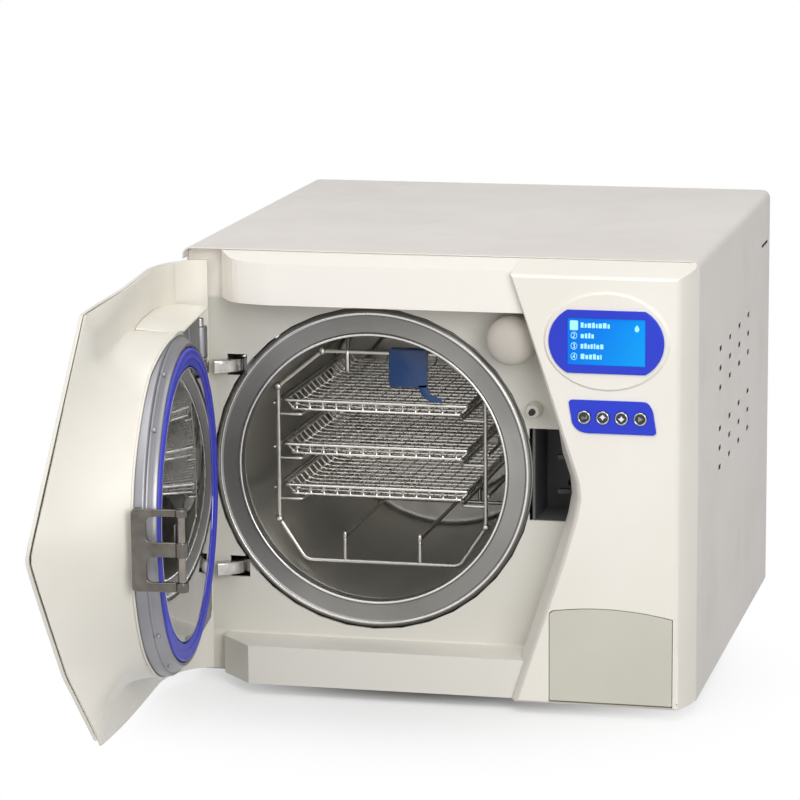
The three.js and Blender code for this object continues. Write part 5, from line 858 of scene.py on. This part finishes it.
def door_carrier():
    """The carrier is a turned disc with a bead, a shallow channel and a lip round the gasket's
    groove; its free side is cut flat by limiting u. Cast ears end in the two hinge barrels."""
    profile = rounded([[0, -5], [152, -5], [152, 6.6], [150.6, 8], [148.6, 8], [148, 9.4], [144.4, 14],
                       [143.2, 17], [140.4, 17], [139.4, 15.6], [139.4, 12], [122.6, 12],
                       [122.6, SEAL_DEPTH], [0, SEAL_DEPTH]],
                      [0, 0.6, 0.8, 0.7, 0.8, 0.8, 1.2, 0.9, 0.8, 0.5, 0.3, 0.3, 0.5, 0], 5)
    disc = ring_on_door(profile, 240)
    near_flat = (disc[..., 2] > 159.7) & (disc[..., 2] < 232.3)
    disc[..., 0] = np.where(near_flat, np.minimum(disc[..., 0], 312.0), disc[..., 0])
    skins = [skin(disc)]
    upper = [[4, 303.1], [128, 303.1], [128, 348], [8, 348], [8, 332.1], [4, 332.1]]
    lower = [[4, 62.9], [8, 62.9], [8, 58], [100, 52], [118, 56], [118, 91.9], [4, 91.9]]
    for outline, low, high, face in ((upper, 309, 342, 1), (lower, 64, 86, 8)):
        skins.append(slab_of(rounded(outline, 1.2, 4, True), -5, face, 0.8))
        pad = [[24, low], [62, low], [62, high], [24, high]]
        skins.append(slab_of(rounded(pad, 3, 5, True), face - 0.4, face + 1.4, 0.8))
    for low in BARREL_LEVELS:
        high = low + BARREL_LENGTH
        barrel = rounded([[4.3, low], [7, low], [7, high], [4.3, high]], [0.4, 0.9, 0.9, 0.4], 4, True)
        skins.append(skin(standing(barrel, (0, 0), 64), wrap=(True, True)))
    screw_circle = 146.6
    for bearing in (38, 62, 118, 142, 218, 242, 298, 322):
        at = (CARRIER[0] + screw_circle * math.cos(math.radians(bearing)),
              CARRIER[1] + screw_circle * math.sin(math.radians(bearing)))
        head = rounded([[0, 11.6], [1.0, 11.6], [1.0, 12.6], [2.3, 12.6], [2.3, 9.6], [0, 9.6]],
                       [0, 0.2, 0.3, 0.6, 0.2, 0], 3)
        skins.append(skin(turned(head, at, 24)))
    shape("door_casting", skins, "door", CARRIER_ALLOY, ("door_carrier",), on_door=True)


def door_seal():
    """The domed pressure disc, its rise 7 (1 - (r / 119)^2) over a 2 mm rim, and the gasket, a
    ring with two soft lips and a shallow valley between them."""
    edge, rise = 119, 7
    radius = np.linspace(edge, 0, 40)
    dome = np.stack([radius, 17.3 + rise * (1 - (radius / edge) ** 2)], 1)
    rim = rounded([[0, 15.3], [121.8, 15.3], [121.8, 17.2], [edge, 17.4]], [0, 0.4, 0.8, 0], 5)
    shape("pressure_disc", [skin(ring_on_door(np.concatenate([rim, dome])))], "door", DISC_STEEL,
          ("sealing_disc",), on_door=True)
    seal = rounded([[123, 12.3], [139, 12.3], [139, 17.6], [137, 19], [134, 18.2], [131.6, 18.2], [130, 18.8],
                    [128.7, 17.3], [123, 17.3]], [0.5, 0.5, 1.6, 1.4, 1.2, 0.8, 0.8, 0.8, 0.8], 6, True)
    shape("seal_ring", [skin(ring_on_door(seal, 200), wrap=(True, True))], "door", RUBBER,
          ("door_gasket",), on_door=True)


def hinge_hardware():
    """Each arm is a flat cranked bar, a band of half width 5.5 along a rounded path, round the pin's
    eye; each pin is turned, with a collar under the door's barrel."""
    path = rounded([[0, 0], [19, 8], [30, 20], [30, 30.3]], [0, 8, 8, 0], 8)
    direction = np.gradient(path, axis=0)
    direction /= np.linalg.norm(direction, axis=1, keepdims=True)
    normal = np.stack([-direction[:, 1], direction[:, 0]], 1)
    band = np.concatenate([path + 5.5 * normal, (path - 5.5 * normal)[::-1]]) + np.array(HINGE)
    bar = band[np.hypot(*(band - np.array(HINGE)).T) > 6.8]
    for which, low in ARM_LEVELS.items():
        high = low + ARM_HEIGHT
        eye = rounded([[4.3, low], [8, low], [8, high], [4.3, high]], [0.5, 0.9, 0.9, 0.5], 4, True)
        shape("arm_" + which, [skin(standing(eye, HINGE, 64), wrap=(True, True)),
                               slab_of(bar, low + 0.2, high - 0.2, 0.8, "z")],
              "cabinet", ARM_STEEL, ("hinge_arm_" + which,))
    upper = rounded([[0, 287.5], [4, 287.5], [4, 299.8], [6.5, 299.8], [6.5, 302.8], [4, 302.8], [4, 339.1],
                     [3, 340.1], [0, 340.1]], [0, 0.3, 0.2, 0.6, 0.6, 0.2, 0.6, 0.6, 0], 4)
    lower = rounded([[0, 54.9], [3, 54.9], [4, 55.9], [4, 92.2], [6.5, 92.2], [6.5, 95.2], [4, 95.2],
                     [4, 107.5], [0, 107.5]], [0, 0.6, 0.6, 0.2, 0.6, 0.6, 0.2, 0.3, 0], 4)
    for which, profile in (("upper", upper), ("lower", lower)):
        shape("pin_" + which, [skin(standing(profile, HINGE, 48))], "cabinet", ARM_STEEL,
              ("hinge_pin_" + which,))


STRIKER_PIN = (320, 42)
STRIKER_TONGUES = ((160.3, 168.4), (190.4, 203.2), (225.4, 231.7))


def striker_pin():
    """The round pin that runs through all three tongues of the bracket."""
    low, high = STRIKER_TONGUES[0][0], STRIKER_TONGUES[-1][1]
    profile = rounded([[0, low], [3.4, low], [3.4, high], [0, high]], [0, 0.8, 0.8, 0], 4)
    shape("striker_bar", [skin(standing(profile, STRIKER_PIN, 40))], "door", PIN_STEEL,
          ("striker_pin",), on_door=True)


def striker_plate():
    """The E-shaped plate that the latch hooks pull on: rounded windows between three tongues, each
    with a knuckle round the pin, and a foot that lies on the casting."""
    (low, first), (second, third), (fourth, high) = STRIKER_TONGUES
    outline = [[-1, low], [41, low], [41, first], [12, first], [12, second], [41, second], [41, third],
               [12, third], [12, fourth], [41, fourth], [41, high], [-1, high]]
    foot = rounded([[1, low], [6.6, low], [6.6, high], [1, high]], 1.2, 4, True)
    skins = [slab_of(rounded(outline, [4, 2, 2, 5, 5, 2, 2, 5, 5, 2, 2, 4], 6, True), 317.6, 322.4, 0.9, "x"),
             slab_of(foot, 312.6, 320, 0.8, "x")]
    for low, high in STRIKER_TONGUES:
        knuckle = rounded([[3.6, low], [5.5, low], [5.5, high], [3.6, high]], [0.2, 0.7, 0.7, 0.2], 4, True)
        skins.append(skin(standing(knuckle, STRIKER_PIN, 40), wrap=(True, True)))
    shape("striker_eye_plate", skins, "door", BRACKET_STEEL, ("striker_bracket",),
          on_door=True)


# Rack, trays and lifter

RACK_FRONT, RACK_BACK = 97.0, 368.0
TRAY_LEVELS = {"tray_top": 243.0, "tray_middle": 201.0, "tray_bottom": 162.0}


def rack_frame():
    """Two bent wire hoops, four long wires, knobs, posts, the hanger and the rails, all of round
    wire carried along rounded paths."""
    cx, cz = CHAMBER
    reach = 125 * math.cos(math.pi / 36) - 2.7
    foot = math.sqrt(reach ** 2 - 97 ** 2)
    half = np.array([[foot, -97], [99, -59], [99, 68], [56, 103]])
    loop = np.concatenate([half, half[::-1] * [-1, 1]])
    skins = []
    for y in (RACK_FRONT, RACK_BACK):
        path = rounded(np.stack([cx + loop[:, 0], np.full(8, y), cz + loop[:, 1]], 1), 6, 6, True)
        skins.append(tube_of(path, 2.0, (0, 1, 0), 12, True))
    for x, z in ([cx + loop[i, 0], cz + loop[i, 1]] for i in (3, 4)):
        skins.append(tube_of(even([[x, RACK_FRONT, z], [x, RACK_BACK, z]], 30), 1.7, (0, 0, 1), 10))
    turn = np.radians(np.linspace(0, 180, 11))
    ball = np.stack([3.8 * np.sin(turn), RACK_FRONT - 3.8 * np.cos(turn)], 1)
    for i in (2, 3, 4, 5, 1, 6):
        skins.append(skin(turned(ball, (cx + loop[i, 0], cz + loop[i, 1]), 20)))
    for dx in (-36, 36):
        x, low, high = cx + dx, cz - 97, cz - 73
        post = rounded([[x, RACK_FRONT, low], [x, RACK_FRONT, high], [x, RACK_BACK, high],
                        [x, RACK_BACK, low]], 4, 5)
        skins.append(tube_of(post, 1.9, (1, 0, 0), 10))
        stud = even([[x, RACK_FRONT, high - 1], [x, RACK_FRONT, high + 2.5]], 2)
        skins.append(tube_of(stud, 2.4, (0, 1, 0), 10))
    hanger = even([[cx - 32, RACK_FRONT, cz + 103], [cx - 32, RACK_FRONT, cz + 86]], 5)
    skins.append(tube_of(hanger, 2.4, (0, 1, 0), 10))
    for z in TRAY_LEVELS.values():
        level = z - 1.9
        for side in (-1, 1):
            out, inner = cx + side * 99, cx + side * 76
            path = rounded([[out, RACK_FRONT, level], [inner, RACK_FRONT, level],
                            [inner, RACK_BACK, level], [out, RACK_BACK, level]], 5, 6)
            skins.append(tube_of(path, 1.5, (0, 0, 1), 10))
            guard = cx + side * 102.3
            wire = even([[guard, RACK_FRONT - 3, z + 9], [guard, RACK_BACK + 3, z + 9]], 40)
            skins.append(tube_of(wire, 1.5, (0, 0, 1), 10))
    shape("rack_wires", skins, "rack", WIRE_STEEL, ("tray_rack",))


def wire_tray(name, level):
    """A tray of welded wire that lies to the left in the rack: a top rim, a lower rim drawn in by
    the flare, and floor wires at pitches of 12.7 and 16 mm whose ends sweep up to the rim."""
    x0, x1, y0, y1 = CHAMBER[0] - 96.2, CHAMBER[0] + 82.5, 100.0, 366.0
    low, high = level + 1.3, level + 10.4
    flare, end_flare = 7.0, 3.0

    def frame_at(across, along, z):
        return [[x0 + across, y0 + along, z], [x1 - across, y0 + along, z],
                [x1 - across, y1 - along, z], [x0 + across, y1 - along, z]]

    skins = [tube_of(rounded(frame_at(1.6, 1.6, high), 3.5, 6, True), 1.6, (0, 0, 1), 10, True),
             tube_of(rounded(frame_at(flare, end_flare, low + 0.9), 5, 6, True), 1.2, (0, 0, 1), 8, True)]
    for x in np.linspace(x0 + 13, x1 - 13, 13):
        path = rounded([[x, y0 + 1.6, high], [x, y0 + end_flare + 1.5, low], [x, y1 - end_flare - 1.5, low],
                        [x, y1 - 1.6, high]], 3, 4)
        skins.append(tube_of(path, 0.9, (1, 0, 0), 6))
    for y in np.linspace(y0 + 9, y1 - 9, 17):
        path = rounded([[x0 + 1.6, y, high], [x0 + flare + 1.5, y, low + 0.4],
                        [x1 - flare - 1.5, y, low + 0.4], [x1 - 1.6, y, high]], 7, 6)
        skins.append(tube_of(path, 1.1, (0, 1, 0), 6))
    for x in np.linspace(x0 + 19.3, x1 - 19.3, 12):
        path = rounded([[x, y0 + end_flare, low - 0.3], [x, y1 - end_flare, low - 0.3]], 1, 3)
        skins.append(tube_of(even(path, 60), 0.6, (1, 0, 0), 5))
    shape(name + "_wires", skins, name, TRAY_STEEL, (name,), weld=1e-6)


def lifter():
    """A bent plate that hangs over the rack's top wire, with a strap that sweeps down to the right:
    its centre line is a quadratic curve and it tapers from 9 to 4.5 mm."""
    left, right, top = 183.0, 219.5, 307.3
    bottom = top - 36
    back, front = 94.3, 92.3
    plate_outline = rounded([[left, bottom], [right, bottom], [right, top], [left, top]],
                            [3, 3, 1.5, 1.5], 6, True)
    t = np.linspace(0, 1, 14)[:, None]
    start = np.array([right - 4.5, bottom + 3])
    knee = np.array([right - 4, bottom - 11])
    tip = np.array([right + 13.5, bottom - 11.4])
    line = (1 - t) ** 2 * start + 2 * t * (1 - t) * knee + t ** 2 * tip
    way = np.gradient(line, axis=0)
    way /= np.linalg.norm(way, axis=1, keepdims=True)
    side = np.stack([-way[:, 1], way[:, 0]], 1) * (4.5 - 2.25 * t)
    strap = np.concatenate([line + side, (line - side)[::-1]])
    fold = rounded([[front, top - 2], [front, top], [back + 7.4, top], [back + 7.4, 302.3],
                    [back + 5.4, 302.3], [back + 5.4, top - 2], [back, top - 2]], 0.8, 4, True)
    hook = np.stack([np.broadcast_to(np.array([left + 2, right - 2])[:, None], (2, len(fold))),
                     np.broadcast_to(fold[:, 0], (2, len(fold))),
                     np.broadcast_to(fold[:, 1], (2, len(fold)))], -1)
    shape("lifter_plate", [slab_of(plate_outline, front, back, 0.5), slab_of(strap, front, back, 0.5),
                           skin(hook, caps=(True, True))], "rack", BLUE_PLASTIC,
          ("tray_lifter",))


# Display, keypad and buttons

DISPLAY_CENTRE = np.array([404.0, 337.5])


def stroke(points, thick):
    """The outline of a line of even thickness through points, mitred at its bends."""
    points = np.asarray(points, float)
    way = np.diff(points, axis=0)
    way /= np.linalg.norm(way, axis=1, keepdims=True)
    normal = np.stack([-way[:, 1], way[:, 0]], 1)
    middle = normal[:-1] + normal[1:]
    if len(middle):
        middle = middle * 2 / (middle ** 2).sum(1, keepdims=True)
    offset = np.concatenate([normal[:1], middle, normal[-1:]]) * thick / 2
    return np.concatenate([points + offset, (points - offset)[::-1]])


# The numerals in the rings, by row
DIGITS = {
    1: [[0, 0.85], [0.3, 1], [0.75, 1], [0.95, 0.7], [0, 0], [1, 0]],
    2: [[0, 1], [0.95, 1], [0.4, 0.6], [0.95, 0.35], [0.7, 0], [0, 0.05]],
    3: [[0.75, 0], [0.75, 1], [0, 0.3], [1, 0.3]],
}


def display():
    """The surround is a pill whose ends bulge on circles of 32.4 mm; its window is the same loop
    with x clipped to the window's half width and z scaled by the two heights."""
    def lay(loop, y):
        return np.insert(loop + DISPLAY_CENTRE, 1, y, 1)

    bulge = 32.4
    turn = np.radians(np.linspace(-61.6, 61.6, 40))
    right = np.stack([19.6 + bulge * np.cos(turn), bulge * np.sin(turn)], 1)
    outer = np.concatenate([right, -right])
    window = np.stack([np.clip(outer[:, 0], -35.1, 35.1), outer[:, 1] * 21.1 / 28.5], 1)
    rows = [lay(outer, -2.3), lay(outer, -3.5), lay(outer * 0.994, -3.75), lay(outer * 0.986, -3.8),
            lay(window * 1.006, -3.8), lay(window, -3.6), lay(window, -2.3)]
    shape("display_surround", [skin(np.array(rows), wrap=(True, True))], "cabinet", BLUE_PRINT,
          ("display_bezel",))
    glass = rounded([[369, 316.5], [439, 316.5], [439, 358.5], [369, 358.5]], 1.0, 5, True)
    shape("display_window", [slab_of(glass, -3.0, 13.7, 0.2)], "cabinet", LIT_DISPLAY,
          ("display_screen",))
    near, far = -3.07, -2.98
    battery = rounded([[371.2, 347.6], [378.6, 347.6], [378.6, 356.4], [371.2, 356.4]], 1.2, 4, True)
    signs = [slab_of(battery, near, far, 0)]
    drop = np.array([[0, 5.4], [1.9, 2.6], [2.1, 0.6], [1.0, -1.0], [-1.0, -1.0], [-2.1, 0.6], [-1.9, 2.6]])
    signs.append(slab_of(rounded(drop + [431.5, 348.6], 0.7, 4, True), near, far, 0))
    widths = ([2.6, 1.8, 3.2, 2.4, 1.6, 2.9, 3.3, 2.0], [2.8, 2.2, 1.9, 2.2],
              [2.4, 2.0, 1.8, 2.0, 1.4, 2.6, 2.8], [3.4, 2.4, 2.6, 2.6, 2.2, 1.2])
    for row, blocks in enumerate(widths):
        z, x = 352.0 - 9.4 * row, 381.0
        for i, width in enumerate(blocks):
            high = (2.7, 1.7, 2.2)[(i + row) % 3]
            signs.append(slab_of([[x, z - 2], [x + width, z - 2], [x + width, z + high], [x, z + high]],
                                 near, far, 0))
            x += width + 0.9
        if row:
            spin = np.radians(np.linspace(0, 360, 24, endpoint=False))
            ring = np.stack([2.9 * np.cos(spin), 3.3 * np.sin(spin)], 1)
            shift = np.array([374.9, z + 0.2]) - DISPLAY_CENTRE
            loops = [lay(loop + shift, y)
                     for loop, y in ((ring, far), (ring, near), (ring * 0.84, near), (ring * 0.84, far))]
            signs.append(skin(np.array(loops), wrap=(True, True)))
            digit = np.asarray(DIGITS[row]) * [2.0, 3.4] + [373.9, z - 1.5]
            signs.append(slab_of(stroke(digit, 0.6), near, far, 0))
    shape("display_signs", signs, "cabinet", LIT_SIGNS)


def round_off(piece, centre, radius, bearings):
    """Trims a corner of a plate to tangents of a circle, at the bearings given in degrees."""
    work = bmesh.new()
    work.from_mesh(piece.data)
    for bearing in np.radians(bearings):
        way = np.array([math.cos(bearing), 0, math.sin(bearing)])
        at = placed(np.array([centre[0], 0, centre[1]]) + radius * way)
        cut = bmesh.ops.bisect_plane(work, geom=work.verts[:] + work.edges[:] + work.faces[:],
                                     plane_co=at, plane_no=way, clear_outer=True)
        bmesh.ops.contextual_create(work, geom=[one for one in cut["geom_cut"]
                                                if isinstance(one, bmesh.types.BMEdge)])
    work.to_mesh(piece.data)
    work.free()


def keypad():
    """Four round buttons with a dark face, a bright ring and a sign, in the printed blue plate."""
    blue = eased("keypad", "cabinet", BLUE_PRINT, 0.3, 3)
    round_off(blue, (373.9, 280.1), 4.4, (112, 135, 158))
    round_off(blue, (445.6, 257.8), 3.4, (-68, -45, -22))
    arrow = np.array([[0, 3.3], [3.3, 0], [1.7, 0], [0, -2.6], [-1.7, 0], [-3.3, 0]])
    back_sign = stroke([[2.6, 2.2], [2.6, -0.6], [-2.4, -0.6]], 0.9)
    back_head = np.array([[-0.9, 1.3], [-3.2, -0.6], [-0.9, -2.5]])
    go_sign = np.array([[-1.8, 2.7], [2.8, 0], [-1.8, -2.7]])
    drawn = ([back_sign, back_head], [arrow], [-arrow], [go_sign])
    for i in range(4):
        centre, body = np.array([384 + 16.9 * i, 269.0]), f"button_{i + 1}"
        profile = rounded([[0, -3.1], [4.6, -3.1], [4.6, -3.45], [5.4, -3.6], [6, -3.0], [6, 2.4], [7, 2.4],
                           [7, 5.4], [0, 5.4]], [0, 0, 0.1, 0.3, 0.3, 0.1, 0.1, 0.1, 0], 3)
        shape(f"button_cap_{i + 1}", [skin(turned(profile, centre, 48))], body, BUTTON_FACE,
              (body,))
        rim = rounded([[4.7, -3.2], [4.7, -3.5], [5.3, -3.64], [5.95, -3.2], [5.95, -3.0], [5.0, -2.9]],
                      0.15, 3, True)
        shape(f"button_ring_{i + 1}", [skin(turned(rim, centre, 48), wrap=(True, True))], body,
              DISC_STEEL)
        finish = SIGN_WHITE if i in (1, 2) else SIGN_GREY
        shape(f"button_sign_{i + 1}", [slab_of(one * 0.92 + centre, -3.16, -3.08, 0) for one in drawn[i]],
              body, finish)


# Stage: floor, white surroundings, lamps and the camera

FILL_LEVEL = 0.32
SHADE_NEAR, SHADE_FAR = 0.02, 0.37
LAMPS = (("Key lamp", (1.9, -3.1, 1.4), (0, 0, 0.2), 1.8, 68),
         ("High lamp", (0.1, -1.5, 2.3), (0, 0, 0.2), 1.4, 13),
         ("Left lamp", (-1.9, -2.9, 1.6), (0, 0, 0.2), 1.8, 17),
         ("Top lamp", (0.2, 0.1, 3.2), (0, 0.1, 0.3), 2.4, 30))


def white_world():
    """White to the camera and in reflections, a plain grey light on everything else."""
    world = bpy.data.worlds.new("Plain studio")
    bpy.context.scene.world = world
    world.use_nodes = True
    tree = world.node_tree
    tree.nodes.clear()
    path = node(tree, "ShaderNodeLightPath")
    seen = math_node(tree, "MAXIMUM", path.outputs["Is Camera Ray"], path.outputs["Is Transmission Ray"])
    plain = node(tree, "ShaderNodeBackground", {"Color": (1, 1, 1, 1), "Strength": FILL_LEVEL})
    white = node(tree, "ShaderNodeBackground", {"Color": (1, 1, 1, 1), "Strength": 1.0})
    glow = node(tree, "ShaderNodeBackground", {"Color": (1, 1, 1, 1), "Strength": 0.8})
    soft = node(tree, "ShaderNodeMixShader", {0: path.outputs["Is Glossy Ray"], 1: plain.outputs[0],
                                              2: glow.outputs[0]})
    both = node(tree, "ShaderNodeMixShader", {0: seen, 1: soft.outputs[0], 2: white.outputs[0]})
    out = node(tree, "ShaderNodeOutputWorld")
    tree.links.new(both.outputs[0], out.inputs["Surface"])


def floor():
    """A wide pale floor that keeps the object's shadow; it reads white to the camera where no
    shadow lies."""
    mesh = bpy.data.meshes.new("floor")
    mesh.from_pydata([(-9, -9, 0), (9, -9, 0), (9, 9, 0), (-9, 9, 0)], [], [(0, 1, 2, 3)])
    ground = bpy.data.objects.new("floor", mesh)
    bpy.context.scene.collection.objects.link(ground)
    finish, tree, shader = new_finish("Pale floor", {"Roughness": 0.9, "Specular IOR Level": 0.1})
    far = node(tree, "ShaderNodeVectorMath", {0: object_place(tree)}, operation="LENGTH")
    share = node(tree, "ShaderNodeMapRange", {0: far.outputs["Value"], 1: SHADE_NEAR, 2: SHADE_FAR},
                 interpolation_type="SMOOTHSTEP")
    path = node(tree, "ShaderNodeLightPath")
    seen = math_node(tree, "MAXIMUM", math_node(tree, "MAXIMUM", path.outputs["Is Camera Ray"],
                                                path.outputs["Is Glossy Ray"]),
                     path.outputs["Is Transmission Ray"])
    feed(tree, shader, "Base Color", mixed(tree, seen, (0.42, 0.42, 0.42, 1), (0.92, 0.92, 0.92, 1)))
    white = node(tree, "ShaderNodeEmission", {"Color": (1, 1, 1, 1), "Strength": 1.0})
    both = node(tree, "ShaderNodeMixShader", {0: times(tree, share.outputs[0], seen),
                                              1: shader.outputs[0], 2: white.outputs[0]})
    out = next(one for one in tree.nodes if one.type == "OUTPUT_MATERIAL")
    tree.links.new(both.outputs[0], out.inputs["Surface"])
    mesh.materials.append(finish)


def lamp(name, place_at, aim, size, power):
    """A square soft lamp that faces a point."""
    light = bpy.data.lights.new(name, "AREA")
    light.shape = "SQUARE"
    light.size = size
    light.energy = power
    holder = bpy.data.objects.new(name, light)
    bpy.context.scene.collection.objects.link(holder)
    holder.location = place_at
    way = Vector(aim) - Vector(place_at)
    holder.rotation_euler = way.to_track_quat("-Z", "Y").to_euler()


def photo_camera():
    """The photograph's view, fitted to its edges and circles: turned 13.26 degrees, tipped 11.05
    degrees and rolled -0.42 degrees, with a focal length in pixels of an 800 pixel picture."""
    turn, tip, roll = (math.radians(angle) for angle in (13.26, 11.05, -0.42))
    focal, picture = 3643.1, 800
    forward = Vector((-math.sin(turn) * math.cos(tip), math.cos(turn) * math.cos(tip), -math.sin(tip)))
    right = Vector((math.cos(turn), math.sin(turn), 0))
    up = right.cross(forward)
    level = right * math.cos(roll) + up * math.sin(roll)
    lift = up * math.cos(roll) - right * math.sin(roll)
    camera = bpy.data.cameras.new("Photo camera")
    camera.sensor_width = 36.0
    camera.lens = focal / picture * camera.sensor_width
    holder = bpy.data.objects.new("Photo camera", camera)
    bpy.context.scene.collection.objects.link(holder)
    basis = Matrix((level, lift, -forward)).transposed().to_4x4()
    spot = placed(np.array([[954.6, -3137.8, 907.4]]))[0]
    holder.matrix_world = Matrix.Translation(Vector(spot)) @ basis
    bpy.context.scene.camera = holder


def stage():
    """All that isn't the object."""
    white_world()
    floor()
    for name, place_at, aim, size, power in LAMPS:
        lamp(name, place_at, aim, size, power)
    photo_camera()


cabinet_solids()
plain_solids()
chamber()
filter_cap()
door_shell()
door_liner()
door_carrier()
door_seal()
hinge_hardware()
striker_pin()
striker_plate()
rack_frame()
for tray_name, tray_level in TRAY_LEVELS.items():
    wire_tray(tray_name, tray_level)
lifter()
display()
keypad()
stage()

scene = bpy.context.scene
scene.view_settings.view_transform = "Standard"
